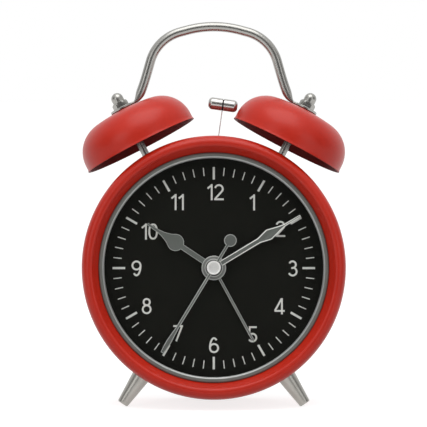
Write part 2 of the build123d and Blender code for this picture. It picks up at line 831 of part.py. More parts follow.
def make_alarm_switch():
    """Slider: thumb piece outside, neck through the slot, keeper plate inside the cover."""
    x = switch_rest
    thumb = Pos(x, cover_back + 0.2 + 1.0, switch_z) * Box(switch_width + 1.6, 2.0, switch_width + 2.4)
    thumb = fillet(thumb.edges().filter_by(Axis.Y), 0.8)
    for offset in (-1.2, 0, 1.2):
        thumb -= Pos(x + offset, cover_back + 2.2, switch_z) * Box(0.5, 0.8, 8)
    neck = Box(switch_width, cover_thickness + 0.6, switch_width)
    neck = Pos(x, (cover_front + cover_back) / 2, switch_z) * neck
    keeper = Pos(x, cover_front - 0.2 - 0.6, switch_z) * Box(switch_width + 5, 1.2, switch_width + 4)
    return thumb + neck + keeper


# ---------------------------------------------------------------- bell drive
def make_drive_bracket():
    """Bent steel bracket screwed to the top of the movement; it carries pivot, crank and motor."""
    top = hammer_pivot_z + 3.6
    left, right = bracket_centre_x - bracket_width / 2, bracket_centre_x + bracket_width / 2
    shoulder = housing_half + bracket_shoulder
    outline = make_face(Polyline(
        (left, housing_half), (left, shoulder), (-5, top), (5, top), (right, shoulder),
        (right, housing_half), close=True,
    ))
    body = plate(outline, bracket_front, bracket_back)
    reach = bracket_back - (dial_back + housing_split) + 2.2
    body += Pos(bracket_centre_x, bracket_back - reach / 2, housing_half + bracket_thickness / 2) * Box(
        bracket_width, reach, bracket_thickness
    )
    body += rod_y(pivot_radius, bell_plane - lever_thickness / 2 - 0.7, bracket_front + 0.4, 0, hammer_pivot_z)
    body += rod_y(pivot_radius, crank_gear_front + 0.1, bracket_front + 0.4, 0, crank_centre_z)
    body -= rod_y(1.6, bracket_front - 1, bracket_back + 1, *motor_centre)
    for x in bracket_screw_places():
        body -= Pos(x, bracket_foot_middle(), housing_half) * Cylinder(bracket_screw_radius + fit, 6)
    return body


def make_bracket_screws():
    screws = []
    for x in bracket_screw_places():
        base = housing_half + bracket_thickness
        head = Pos(x, bracket_foot_middle(), base + 0.5) * Cylinder(1.7, 1.0)
        shank = Pos(x, bracket_foot_middle(), base - 1.3) * Cylinder(bracket_screw_radius, 2.6)
        screws.append(head + shank)
    return Compound(screws)


def make_motor():
    """Small can motor behind the bracket."""
    x, z = motor_centre
    can = rod_y(motor_radius, bracket_back, bracket_back + motor_length, x, z)
    can = fillet(can.edges().group_by(Axis.Y)[-1], 1.0)
    can += rod_y(1.5, bracket_front, bracket_back + 0.1, x, z)
    can -= rod_y(motor_shaft_radius + running, bracket_front - 1, bracket_back + 5, x, z)
    can += rod_y(2.5, bracket_back + motor_length - 0.1, bracket_back + motor_length + 0.6, x, z)
    return can


def make_motor_pinion():
    body = gear(motor_teeth, drive_module, motor_phase, crank_gear_front - 0.1, crank_back + 0.1)
    body += rod_y(motor_shaft_radius, crank_gear_front - 0.5, bracket_back + 4)
    return moved(body, motor_centre)


def make_crank_wheel():
    """Wheel on the bracket's stud, with the crank pin on its front face."""
    body = gear(crank_teeth, drive_module, crank_phase, crank_gear_front, crank_back)
    body += rod_y(2.4, crank_front, crank_gear_front + 0.1)
    body -= rod_y(pivot_radius + running, crank_gear_front, crank_back + 1)
    body = moved(body, (0, crank_centre_z))
    return body + rod_y(crank_pin_radius, crank_pin_front, crank_front + 0.2, *crank_pin)


def hammer_frame():
    """Frame on the hammer's pivot whose Z runs up the wire."""
    return Pos(0, bell_plane, hammer_pivot_z) * Rot(0, hammer_rest, 0)


def make_hammer_lever():
    half = crank_pin_radius + 0.12
    end = lever_pin_reach + 1.6
    outline = Circle(lever_hub_radius)
    outline += Pos(0, -end / 2) * Rectangle(3.6, end)
    outline += Pos(0, 3.2) * Rectangle(2.4, 5.2)
    outline -= Pos(0, -(end + 5.0) / 2 - 0.2) * Rectangle(2 * half, end - 4.4)
    outline -= Circle(pivot_radius + running)
    lever = plate(outline, -lever_thickness / 2, lever_thickness / 2)
    lever -= Pos(0, 0, 4.9) * Cylinder(wire_radius + 0.02, 4.0)
    return hammer_frame() * lever


def make_hammer_wire():
    length = hammer_reach - hammer_radius - 3.2 + 1.0
    return hammer_frame() * Pos(0, 0, 3.2 + length / 2) * Cylinder(wire_radius, length)


def make_hammer_head():
    """Double-ended striker: two rounded barrels with a waist where the wire enters."""
    half = hammer_length / 2
    round_x, flank = hammer_radius - hammer_end_round, half - hammer_end_round
    waist, wide = hammer_radius - hammer_groove, hammer_groove_half + hammer_groove
    with BuildLine() as line:
        Polyline((round_x, -half), (0, -half), (0, half), (round_x, half))
        CenterArc((round_x, flank), hammer_end_round, 90, -90)
        CenterArc((round_x, -flank), hammer_end_round, 0, -90)
        Polyline(
            (hammer_radius, flank), (hammer_radius, wide), (waist, hammer_groove_half),
            (waist, -hammer_groove_half), (hammer_radius, -wide), (hammer_radius, -flank),
        )
    head = revolve(make_face(line.line), Axis.Y)
    head = Rot(0, 0, 90) * head
    head -= Pos(0, 0, -hammer_radius) * Cylinder(wire_radius + 0.02, 2.2)
    return hammer_frame() * Pos(0, 0, hammer_reach) * head


# ---------------------------------------------------------------- bells and handle
def bell_frame(side):
    """Frame at the centre of a bell's mouth whose Z runs up the post."""
    return Pos(side * bell_offset_x, bell_plane, bell_offset_z) * Rot(0, side * bell_tilt, 0)


def bell_profile(radius, height, crown, shoulder, foot):
    """Half section from the axis out along the crown, round the shoulder and down the flank."""
    angle = asin((radius - shoulder) / (crown - shoulder))
    centre_x = (crown - shoulder) * sin(angle)
    centre_z = height - crown + (crown - shoulder) * cos(angle)
    joint = (crown * sin(angle), height - crown + crown * cos(angle))
    crown_arc = ThreePointArc(
        (0, height), (crown * sin(angle / 2), height - crown + crown * cos(angle / 2)), joint
    )
    middle = (pi / 2 + angle) / 2
    shoulder_arc = ThreePointArc(
        joint, (centre_x + shoulder * sin(middle), centre_z + shoulder * cos(middle)), (radius, centre_z)
    )
    flank = Line((radius, centre_z), (radius, foot))
    return [crown_arc, shoulder_arc, flank], (radius, foot)


def bell_solid(radius, height, crown, shoulder, foot):
    curves, corner = bell_profile(radius, height, crown, shoulder, foot)
    close = [Line(corner, (0, foot)), Line((0, foot), (0, height))]
    face = make_face(curves + close)
    return revolve(Plane.XZ * face, Axis.Z)


def make_bell(side):
    """Drawn sheet gong, open below, with a slightly flared rim."""
    straight = bell_radius - bell_flare
    outer = bell_solid(straight, bell_height, bell_crown_curve, bell_shoulder_curve, 0)
    rim = Pos(0, 0, 0.6) * Cone(bell_radius, straight, 1.2)
    inner = bell_solid(
        straight - bell_wall, bell_height - bell_wall, bell_crown_curve - bell_wall,
        bell_shoulder_curve - bell_wall, -1,
    )
    bell = outer + rim - inner - Cylinder(bell_thread_radius + thread_fit, 60)
    return bell_frame(side) * bell


def drum_cylinder(radius):
    return rod_y(radius, -20, drum_rear + 20)


def make_bell_post(side):
    """Turned post: a shoulder on the drum, another under the bell, threaded ends."""
    seat = bell_height - bell_wall - 0.02
    column = Pos(0, 0, (seat - 14) / 2) * Cylinder(bell_post_radius, seat + 14)
    column = bell_frame(side) * column - drum_cylinder(drum_radius)
    top = bell_height + eye_thickness + nut_hex_height + 1.4
    stud = Pos(0, 0, (top - 14) / 2) * Cylinder(bell_thread_radius, top + 14)
    crown_room = bell_frame(side) * Pos(0, 0, -14.0 - 5) * Box(10, 10, 10)
    return column + (bell_frame(side) * stud - crown_room)


def make_post_nut(side):
    """Hex lock nut inside the drum, seated on the curved sheet."""
    nut = extrude(RegularPolygon(nut_across_flats / sqrt(3), 6), 3.4)
    nut -= Cylinder(bell_thread_radius + fit, 20)
    return bell_frame(side) * Pos(0, 0, -11.1) * nut & drum_cylinder(drum_inner)


def make_cap_nut(side):
    """Acorn nut: hexagon, short neck and dome."""
    flats = nut_across_flats / sqrt(3)
    nut = extrude(RegularPolygon(flats, 6), nut_hex_height)
    trim = Pos(0, 0, nut_hex_height / 2) * Cone(flats + 0.9, flats - 0.35, nut_hex_height)
    nut = nut & trim
    neck = nut_height - nut_hex_height - nut_dome_radius
    nut += Pos(0, 0, nut_hex_height + neck / 2) * Cylinder(nut_dome_radius, neck)
    dome = Sphere(nut_dome_radius) & Pos(0, 0, 5) * Box(10, 10, 10)
    nut += Pos(0, 0, nut_height - nut_dome_radius) * dome
    nut -= Pos(0, 0, (nut_hex_height + 1.5) / 2 - 0.5) * Cylinder(bell_thread_radius + fit, nut_hex_height + 2.5)
    return bell_frame(side) * Pos(0, 0, bell_height + eye_thickness) * nut


def make_handle():
    """Bent rod whose ends are flattened into eyes over the crowns of the bells."""
    points = [
        (-handle_foot_x, handle_foot_z), (-handle_corner_x, handle_corner_z),
        (-handle_crown_half, handle_top), (handle_crown_half, handle_top),
        (handle_corner_x, handle_corner_z), (handle_foot_x, handle_foot_z),
    ]
    path = FilletPolyline(
        *[(x, bell_plane, z) for x, z in points],
        radius=[handle_corner_curve, handle_crown_curve, handle_crown_curve, handle_corner_curve],
    )
    start = path @ 0
    heading = path % 0
    section = Plane(origin=start, z_dir=heading) * Circle(handle_radius)
    body = sweep(section, path=path)
    for side in (-1, 1):
        body += handle_eye(side)
    return body


def handle_eye(side):
    frame = bell_frame(side)
    eye = Circle(eye_radius) + make_face(Polyline(
        (0, -eye_radius), (-side * eye_neck, -eye_neck_width / 2), (-side * eye_neck, eye_neck_width / 2),
        (0, eye_radius), close=True,
    ))
    body = Pos(0, 0, bell_height) * extrude(eye, eye_thickness)
    body -= Pos(0, 0, bell_height) * Cylinder(bell_thread_radius + thread_fit, 8)
    body = frame * body
    tilt = radians(bell_tilt)
    inward = eye_neck * cos(tilt)
    rise = bell_height + eye_thickness / 2
    flat_plane = Plane(
        origin=(
            side * (bell_offset_x + rise * sin(tilt) - inward),
            bell_plane,
            bell_offset_z + rise * cos(tilt) + eye_neck * sin(tilt),
        ),
        x_dir=(0, 1, 0),
        z_dir=(-side * cos(tilt), 0, sin(tilt)),
    )
    run_x = handle_corner_x - handle_foot_x
    run_z = handle_corner_z - handle_foot_z
    round_plane = Plane(
        origin=(side * handle_foot_x, bell_plane, handle_foot_z), x_dir=(0, 1, 0),
        z_dir=(side * run_x, 0, run_z),
    )
    down, inward_up = round_plane.z_dir * -1, flat_plane.z_dir
    apart = flat_plane.origin - round_plane.origin
    turn = down.X * inward_up.Z - down.Z * inward_up.X
    corner = round_plane.origin + down * ((apart.X * inward_up.Z - apart.Z * inward_up.X) / turn)
    bend_plane = Plane(
        origin=(round_plane.origin + corner * 2 + flat_plane.origin) * 0.25, x_dir=(0, 1, 0),
        z_dir=inward_up - down,
    )
    neck = loft([
        round_plane * Circle(handle_radius),
        bend_plane * RectangleRounded(handle_radius + eye_neck_width / 2, neck_thickness, neck_thickness * 0.48),
        flat_plane * RectangleRounded(eye_neck_width, eye_thickness, eye_thickness * 0.45),
    ])
    return body + neck


# ---------------------------------------------------------------- feet
def foot_frame(side):
    """Frame on the drum under one foot whose Z runs out of the drum."""
    return Pos(0, foot_plane, 0) * Rot(0, side * (180 - foot_angle), 0) * Pos(0, 0, drum_radius)


def make_foot(side, floor_level):
    """Tapered peg, hollowed to the drum at its root and ground level where it stands."""
    cone = Pos(0, 0, foot_length / 2 - 1.0) * Cone(
        foot_root_radius + (foot_root_radius - foot_tip_radius) * 2 / foot_length, foot_tip_radius,
        foot_length + 2.0,
    )
    cone -= Cylinder(foot_screw_radius - 0.2 + fit, 16)
    foot = foot_frame(side) * cone - drum_cylinder(drum_radius)
    return foot - floor_level


def make_foot_screw(side):
    head_radius = 2.5
    shank = Pos(0, 0, 1.4) * Cylinder(foot_screw_radius - 0.2, 11.2)
    head = Pos(0, 0, -sheet - 1.0) * Cylinder(head_radius, 2.0)
    body = shank + head
    body -= Pos(0, 0, -sheet - 2.0) * (Box(3.0, 0.6, 1.2) + Box(0.6, 3.0, 1.2))
    body = foot_frame(side) * body
    ring = drum_cylinder(drum_radius + 5) - drum_cylinder(drum_inner)
    return body - (ring - foot_frame(side) * Cylinder(foot_screw_radius - 0.1, 30))


# ---------------------------------------------------------------- stance
def foot_reach():
    """Depth below the drum axis at which the ground face of a foot lies."""
    angle = radians(foot_angle)
    return (drum_radius + foot_length) * cos(angle) + foot_flat * foot_tip_radius * sin(angle)


def lean_angle():
    """Lean at which both feet and the rear hem of the drum touch one level floor."""
    centre_y = drum_rear - hem_radius
    centre_z = drum_radius - hem_radius
    lean = 0.0
    for _ in range(30):
        drop = foot_reach() - centre_z - hem_radius / cos(lean)
        lean = atan2(drop, centre_y - foot_plane)
    return degrees(lean)


lean = lean_angle()
floor_z = -foot_plane * sin(radians(lean)) - foot_reach() * cos(radians(lean))


def make_floor():
    """Everything below the floor, in the frame of the upright clock."""
    slab = Pos(0, foot_plane, floor_z - case_radius / 2) * Box(4 * case_radius, 2 * case_radius, case_radius)
    return Rot(lean, 0, 0) * slab


def build():
    floor_level = make_floor()
    nodes = {
        "case_drum": make_drum(),
        "bezel_ring": make_bezel(),
        "trim_ring": make_trim_ring(),
        "lens": make_lens(),
        "dial_frame": make_dial_frame(),
        "dial": make_dial(),
        "dial_nut": make_dial_nut(),
        "back_cover": make_back_cover(),
        "back_screws": make_back_screws(),
        "battery_door": make_battery_door(),
        "battery_upper": make_cell(1, 1),
        "battery_lower": make_cell(-1, -1),
        "battery_contacts": make_battery_contacts(),
        "movement_front": make_movement_front(),
        "movement_rear": make_movement_rear(),
        "train_bridge": make_train_bridge(),
        "minute_wheel": make_minute_wheel(),
        "hour_wheel": make_hour_wheel(),
        "alarm_wheel": make_alarm_wheel(),
        "motion_wheel": make_motion_wheel(),
        "second_wheel": make_second_wheel(),
        "third_wheel": make_third_wheel(),
        "step_wheel": make_step_wheel(),
        "rotor": make_rotor(),
        "stator": make_stator(),
        "coil": make_coil(),
        "circuit_board": make_circuit_board(),
        "time_set_arbor": make_set_arbor(set_centre, set_pinion_teeth, set_phase, motion_layer),
        "alarm_set_arbor": make_set_arbor(alarm_centre, alarm_set_teeth, alarm_set_phase, alarm_layer),
        "time_set_knob": make_knob(set_centre),
        "alarm_set_knob": make_knob(alarm_centre),
        "alarm_switch": make_alarm_switch(),
        "alarm_hand": make_alarm_hand(),
        "hour_hand": make_hour_hand(),
        "minute_hand": make_minute_hand(),
        "second_hand": make_second_hand(),
        "hand_cap": make_hand_cap(),
        "drive_bracket": make_drive_bracket(),
        "bracket_screws": make_bracket_screws(),
        "motor": make_motor(),
        "motor_pinion": make_motor_pinion(),
        "crank_wheel": make_crank_wheel(),
        "hammer_lever": make_hammer_lever(),
        "hammer_wire": make_hammer_wire(),
        "hammer_head": make_hammer_head(),
        "handle": make_handle(),
    }
    for side, name in ((-1, "left"), (1, "right")):
        nodes[name + "_bell"] = make_bell(side)
        nodes[name + "_bell_post"] = make_bell_post(side)
        nodes[name + "_post_nut"] = make_post_nut(side)
        nodes[name + "_cap_nut"] = make_cap_nut(side)
        nodes[name + "_foot"] = make_foot(side, floor_level)
        nodes[name + "_foot_screw"] = make_foot_screw(side)
    return nodes


def stance(middle_y=0.0):
    """Location that leans the clock back and sets it on the floor."""
    return Pos(0, -middle_y, -floor_z) * Rot(-lean, 0, 0)


if __name__ == "__main__":
    built = {name: stance() * shape for name, shape in build().items()}
    boxes = [shape.bounding_box() for shape in built.values()]
    middle = (min(box.min.Y for box in boxes) + max(box.max.Y for box in boxes)) / 2
    for name, shape in built.items():
        export_step(Pos(0, -middle, 0) * shape, "parts/" + name + ".step")
    print("lean", round(lean, 3), "middle", round(middle, 4), "floor", round(floor_z, 4))
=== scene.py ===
"""Twin-bell alarm clock: finishes, dial print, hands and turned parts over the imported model."""

import json
import logging
import math
from dataclasses import dataclass
from enum import Enum
from typing import Any, Callable, Iterable, Sequence

import bmesh
import bpy
from mathutils import Matrix, Vector


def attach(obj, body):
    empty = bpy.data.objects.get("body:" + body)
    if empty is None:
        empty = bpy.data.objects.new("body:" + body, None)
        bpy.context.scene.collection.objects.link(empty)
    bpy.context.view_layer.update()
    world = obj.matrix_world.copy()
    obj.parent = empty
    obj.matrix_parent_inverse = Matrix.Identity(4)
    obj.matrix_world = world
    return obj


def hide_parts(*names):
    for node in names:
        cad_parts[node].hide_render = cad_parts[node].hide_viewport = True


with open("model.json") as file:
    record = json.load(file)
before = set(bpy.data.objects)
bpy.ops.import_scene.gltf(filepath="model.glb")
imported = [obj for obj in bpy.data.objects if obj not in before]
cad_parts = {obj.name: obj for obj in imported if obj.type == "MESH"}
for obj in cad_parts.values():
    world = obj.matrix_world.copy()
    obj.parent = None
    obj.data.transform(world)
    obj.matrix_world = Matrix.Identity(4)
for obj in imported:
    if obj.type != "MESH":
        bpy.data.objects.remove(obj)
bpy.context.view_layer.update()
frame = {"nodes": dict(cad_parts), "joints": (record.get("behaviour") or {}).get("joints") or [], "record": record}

MM = 0.001
Point2 = tuple[float, float]
Point3 = tuple[float, float, float]
Colour = tuple[float, float, float]
WHITE_LIGHT: Colour = (1.0, 1.0, 1.0)
log = logging.getLogger("clock")


def placed(name: str, data: bpy.types.ID) -> bpy.types.Object:
    """Make an object and put it into the scene.

    Args:
        name: Its name.
        data: Its mesh, lamp or camera.

    Returns:
        The object.
    """
    made = bpy.data.objects.new(name, data)
    bpy.context.scene.collection.objects.link(made)
    return made


# ---- where things are
class ClockSpace:
    """The clock's own upright frame: x right, y back from the bezel's crest, z up, in mm."""

    SPINDLE_DEPTH = 20.0
    DRUM_RADIUS = 58.15
    BELL_ACROSS, BELL_DEPTH, BELL_UP, BELL_TILT = 32.81, 25.0, 55.8, 27.3
    HAMMER_DEPTH, HAMMER_UP, HAMMER_REST = 25.0, 44.8, 8.0
    FOOT_DEPTH, FOOT_TURN = 18.0, 146.0

    def __init__(self, joints: Sequence[dict[str, Any]]) -> None:
        """Find the lean and the origin from the minute spindle.

        Args:
            joints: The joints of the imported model.
        """
        spindle = next(j for j in joints if j["name"] == "minute_hand_spin")
        back = Vector(spindle["axis"]).normalized()
        up = Vector((1, 0, 0)).cross(back)
        origin = Vector(spindle["pos_m"]) - back * self.SPINDLE_DEPTH * MM
        self.matrix = Matrix.Translation(origin) @ Matrix(
            ((1, 0, 0, 0), (0, back.y, up.y, 0), (0, back.z, up.z, 0), (0, 0, 0, 1))
        )

    @property
    def lean(self) -> float:
        """Lean of the dial, in degrees."""
        return math.degrees(math.asin(-self.matrix.col[1].z))

    def at(self, x: float, y: float, z: float, turn: float) -> Matrix:
        """Frame at a place in mm, turned about Y by degrees."""
        here = Matrix.Translation(Vector((x, y, z)) * MM)
        return self.matrix @ here @ Matrix.Rotation(math.radians(turn), 4, "Y")

    def bell(self, side: int) -> Matrix:
        """Frame at the centre of a bell's mouth, with Z up its post."""
        across, turn = side * self.BELL_ACROSS, side * self.BELL_TILT
        return self.at(across, self.BELL_DEPTH, self.BELL_UP, turn)

    def foot(self, side: int) -> Matrix:
        """Frame on the drum under a foot, with Z out of the drum."""
        out = Matrix.Translation(Vector((0, 0, self.DRUM_RADIUS)) * MM)
        return self.at(0, self.FOOT_DEPTH, 0, side * self.FOOT_TURN) @ out

    def hammer(self) -> Matrix:
        """Frame on the hammer's pivot, with Z up the wire."""
        return self.at(0, self.HAMMER_DEPTH, self.HAMMER_UP, self.HAMMER_REST)


SPACE = ClockSpace(frame["joints"])


# ---- shader expressions
def arithmetic(operation: str, flipped: bool = False) -> Callable[["Wire", Any], "Wire"]:
    """Operator that adds a Math node.

    Args:
        operation: What the node works out.
        flipped: Whether the other value comes first.

    Returns:
        The operator.
    """

    def operator(wire: "Wire", other: Any) -> "Wire":
        """Value of the new node."""
        first, second = (other, wire) if flipped else (wire, other)
        return wire.tree.node("ShaderNodeMath", {"operation": operation}, {0: first, 1: second})

    return operator


class Wire:
    """A shader socket with arithmetic."""

    __add__ = __radd__ = arithmetic("ADD")
    __mul__ = __rmul__ = arithmetic("MULTIPLY")
    __sub__ = arithmetic("SUBTRACT")
    __rsub__ = arithmetic("SUBTRACT", flipped=True)
    __pow__ = arithmetic("POWER")

    def __init__(self, tree: "ShaderTree", socket: bpy.types.NodeSocket) -> None:
        """Wrap a socket of a tree."""
        self.tree = tree
        self.socket = socket

    def output(self, key: Any) -> "Wire":
        """Another output of the same node."""
        return Wire(self.tree, self.socket.node.outputs[key])

    def above(self, edge: float, width: float) -> "Wire":
        """Smooth step from 0 to 1, of some width, with its middle at the edge."""
        values = {"Value": self, "From Min": edge - width / 2, "From Max": edge + width / 2}
        return self.tree.node("ShaderNodeMapRange", {"interpolation_type": "SMOOTHSTEP"}, values)


class ShaderTree:
    """Node tree of a material or a world."""

    def __init__(self, owner: bpy.types.ID, end: str) -> None:
        """Empty the tree and give it its output node.

        Args:
            owner: Material or world.
            end: Type of the output node.
        """
        owner.use_nodes = True
        self.nodes = owner.node_tree.nodes
        self.links = owner.node_tree.links
        self.nodes.clear()
        self.end = self.nodes.new(end)

    def node(
        self, kind: str, settings: dict[str, Any], inputs: dict[Any, Any], key: Any = 0
    ) -> Wire:
        """Add a node.

        Args:
            kind: Blender's type name.
            settings: Properties set first.
            inputs: Socket name or number to a value or a Wire.
            key: Output to return.

        Returns:
            That output.
        """
        made = self.nodes.new(kind)
        for name, value in settings.items():
            setattr(made, name, value)
        for name, value in inputs.items():
            self.feed(made, name, value)
        return Wire(self, made.outputs[key])

    def feed(self, node: bpy.types.Node, key: Any, value: Any) -> None:
        """Set or link a socket.

        Args:
            node: Node that has the socket.
            key: Name or number of the socket.
            value: Number, vector, colour or Wire.
        """
        socket = node.inputs[key]
        if isinstance(value, Wire):
            self.links.new(value.socket, socket)
        else:
            socket.default_value = (*value, 1.0) if socket.type == "RGBA" else value

    def place(self, kind: str = "Object") -> Wire:
        """Texture coordinate of the surface point."""
        return self.node("ShaderNodeTexCoord", {}, {}, kind)

    def scaled(self, point: Wire, factor: Point3) -> Wire:
        """Coordinate stretched along its axes."""
        return self.node("ShaderNodeVectorMath", {"operation": "MULTIPLY"}, {0: point, 1: factor})

    def noise(self, point: Wire, mm: float, detail: float = 3.0, rough: float = 0.5) -> Wire:
        """Noise from 0 to 1 whose features are about this many mm across."""
        inputs = {"Vector": point, "Scale": 1.0 / (mm * MM), "Detail": detail, "Roughness": rough}
        return self.node("ShaderNodeTexNoise", {}, inputs)

    def blend(self, share: Wire, first: Any, second: Any) -> Wire:
        """Colour between two colours."""
        return self.node("ShaderNodeMix", {"data_type": "RGBA"}, {0: share, 6: first, 7: second}, 2)

    def mix(self, share: Wire, first: Wire, second: Wire) -> Wire:
        """One of two shaders."""
        return self.node("ShaderNodeMixShader", {}, {0: share, 1: first, 2: second})

    def axis(self, point: Wire, letter: str) -> Wire:
        """One component of a coordinate."""
        return self.node("ShaderNodeSeparateXYZ", {}, {0: point}, letter)

    def clock_place(self) -> Wire:
        """Surface point in the clock's own upright frame.

        Returns:
            The point.
        """
        home = SPACE.matrix.inverted()
        shift, turn = tuple(home.to_translation()), tuple(home.to_euler())
        inputs = {"Vector": self.place(), "Location": shift, "Rotation": turn}
        return self.node("ShaderNodeMapping", {"vector_type": "POINT"}, inputs)

    def about_spindle(self, point: Wire) -> Wire:
        """Distance of a point from the Y axis."""
        x, z = self.axis(point, "X"), self.axis(point, "Z")
        return (x * x + z * z) ** 0.5


class MaterialTree(ShaderTree):
    """Node tree of one material, with one Principled shader at its end."""

    def __init__(self, name: str) -> None:
        """Start a material.

        Args:
            name: Its name.
        """
        self.material = bpy.data.materials.new(name)
        super().__init__(self.material, "ShaderNodeOutputMaterial")
        self.shader = self.nodes.new("ShaderNodeBsdfPrincipled")
        self.links.new(self.shader.outputs[0], self.end.inputs["Surface"])

    def give(self, key: str, value: Any) -> None:
        """Set or link a socket of the Principled shader."""
        self.feed(self.shader, key, value)

    def relief(self, height: Wire, depth_mm: float, strength: float) -> None:
        """Disturb the normal by a height."""
        inputs = {"Height": height, "Distance": depth_mm * MM, "Strength": strength}
        self.give("Normal", self.node("ShaderNodeBump", {}, inputs))


@dataclass(frozen=True)
class Finish:
    """Base of the finishes: a name, a colour and a way to dress a tree."""

    name: str
    colour: Colour
    roughness: float = 0.5

    def make(self) -> bpy.types.Material:
        """Material of this finish, made once.

        Returns:
            The material.
        """
        known = bpy.data.materials.get(self.name)
        if known:
            return known
        tree = MaterialTree(self.name)
        tree.give("Roughness", self.roughness)
        tree.give("Base Color", self.colour)
        self.dress(tree)
        return tree.material

    def dress(self, tree: MaterialTree) -> None:
        """Add the finish's own detail."""


@dataclass(frozen=True)
class Paint(Finish):
    """Sprayed enamel on sheet steel: soft mottling, fine orange peel, a satin coat."""

    deep: Colour = (0.30, 0.02, 0.01)
    mottle_mm: float = 22.0
    dust_mm: float = 1.6
    peel_mm: float = 0.9
    gloss: float = 0.33

    def dress(self, tree: MaterialTree) -> None:
        """Add mottling, peel and settled dust.

        Args:
            tree: Tree to dress.
        """
        here = tree.place()
        broad, fine = tree.noise(here, self.mottle_mm, 2.0), tree.noise(here, self.dust_mm)
        share = (broad * 0.6 + fine * 0.4).above(0.5, 0.5)
        tree.give("Base Color", tree.blend(share, self.deep, self.colour))
        tree.give("Roughness", fine * 0.10 + (self.roughness - 0.05))
        tree.relief(tree.noise(here, self.peel_mm, 2.0), 0.012, 0.55)
        tree.give("Specular IOR Level", self.gloss)


class Grain(Enum):
    """Direction in which a metal is brushed."""

    NONE = (1.0, 1.0, 1.0)
    ACROSS = (0.06, 1.0, 1.0)
    UPRIGHT = (1.0, 1.0, 0.06)


@dataclass(frozen=True)
class Metal(Finish):
    """Plated or brushed metal with fine scratches, cloudy roughness and a dulled tint."""

    grain: Grain = Grain.NONE
    scratch_mm: float = 0.25
    tint: Colour = (0.5, 0.48, 0.45)
    metal: float = 1.0
    wear: float = 1.0
    cloud_mm: float = 5.0

    def dress(self, tree: MaterialTree) -> None:
        """Add grain, clouds and tint.

        Args:
            tree: Tree to dress.
        """
        here = tree.place()
        lines = tree.noise(tree.scaled(here, self.grain.value), self.scratch_mm, 3.0, 0.6)
        cloud = tree.noise(here, self.cloud_mm, 2.0)
        share = (lines * 0.5 + cloud * 0.5).above(0.5, 0.6)
        coarse = (lines * 0.16 + cloud * 0.08) * self.wear
        tree.give("Metallic", self.metal)
        tree.give("Base Color", tree.blend(share, self.tint, self.colour))
        tree.give("Roughness", coarse + (self.roughness - 0.12 * self.wear))
        tree.relief(lines, 0.004 * self.wear, 0.4)


@dataclass(frozen=True)
class SpunMetal(Finish):
    """Metal turned about the dial's axis, with faint concentric lines."""

    tint: Colour = (0.4, 0.4, 0.39)
    metal: float = 1.0
    line_mm: float = 0.18
    cloud_mm: float = 7.0

    def dress(self, tree: MaterialTree) -> None:
        """Add concentric turning marks.

        Args:
            tree: Tree to dress.
        """
        here = tree.clock_place()
        radius = tree.about_spindle(here)
        ring = tree.node("ShaderNodeCombineXYZ", {}, {"X": radius, "Y": tree.axis(here, "Y")})
        lines = tree.noise(ring, self.line_mm, 3.0, 0.6)
        cloud = tree.noise(here, self.cloud_mm, 2.0)
        share = (lines * 0.6 + cloud * 0.4).above(0.5, 0.5)
        tree.give("Metallic", self.metal)
        tree.give("Base Color", tree.blend(share, self.tint, self.colour))
        tree.give("Roughness", lines * 0.14 + cloud * 0.08 + (self.roughness - 0.11))
        tree.relief(lines, 0.004, 0.35)


@dataclass(frozen=True)
class Moulded(Finish):
    """Moulded plastic with a fine spark-eroded grain and handling marks."""

    light: Colour = (0.05, 0.05, 0.05)
    grain_mm: float = 0.35
    depth_mm: float = 0.02
    patch_mm: float = 9.0

    def dress(self, tree: MaterialTree) -> None:
        """Add grain and rubbed patches.

        Args:
            tree: Tree to dress.
        """
        here = tree.place()
        grain = tree.noise(here, self.grain_mm, 3.0, 0.6)
        patch = tree.noise(here, self.patch_mm)
        share = (grain * 0.4 + patch * 0.6).above(0.52, 0.4)
        tree.give("Base Color", tree.blend(share, self.colour, self.light))
        tree.give("Roughness", patch * 0.16 + (self.roughness - 0.08))
        tree.relief(grain, self.depth_mm, 0.5)


@dataclass(frozen=True)
class DialLacquer(Finish):
    """Matt black lacquer on the dial plate, with faint cloudiness and tooth."""

    light: Colour = (0.0060, 0.0063, 0.0042)
    cloud_mm: float = 14.0
    tooth_mm: float = 0.22
    gloss: float = 0.1

    def dress(self, tree: MaterialTree) -> None:
        """Add cloudiness and tooth.

        Args:
            tree: Tree to dress.
        """
        here = tree.place()
        cloud, tooth = tree.noise(here, self.cloud_mm), tree.noise(here, self.tooth_mm, 2.0)
        share = (cloud * 0.5 + tooth * 0.5).above(0.5, 0.5)
        tree.give("Base Color", tree.blend(share, self.colour, self.light))
        tree.give("Roughness", tooth * 0.12 + (self.roughness - 0.06))
        tree.relief(tooth, 0.006, 0.4)
        tree.give("Specular IOR Level", self.gloss)


@dataclass(frozen=True)
class Ink(Finish):
    """Screen-printed ink with a slightly uneven film."""

    thin: Colour = (0.65, 0.66, 0.62)
    film_mm: float = 0.5

    def dress(self, tree: MaterialTree) -> None:
        """Add an uneven film.

        Args:
            tree: Tree to dress.
        """
        film = tree.noise(tree.place(), self.film_mm, 3.0, 0.6)
        tree.give("Base Color", tree.blend(film.above(0.5, 0.6), self.thin, self.colour))
        tree.relief(film, 0.004, 0.3)


@dataclass(frozen=True)
class Clear(Finish):
    """Clear moulded lens: light passes, and its skin mirrors a little, more at a slant."""

    index: float = 1.45
    mirror: float = 0.55
    wave_mm: float = 30.0

    def dress(self, tree: MaterialTree) -> None:
        """Thin the surface and ripple it faintly.

        Args:
            tree: Tree to dress.
        """
        wave = tree.noise(tree.place(), self.wave_mm, 1.0)
        slant = tree.node("ShaderNodeFresnel", {}, {"IOR": self.index})
        inside = tree.node("ShaderNodeNewGeometry", {}, {}, "Backfacing")
        tree.give("Metallic", 1.0)
        tree.give("Alpha", slant * self.mirror * (1.0 - inside) + wave * 0.002)
        tree.relief(wave, 0.05, 0.2)


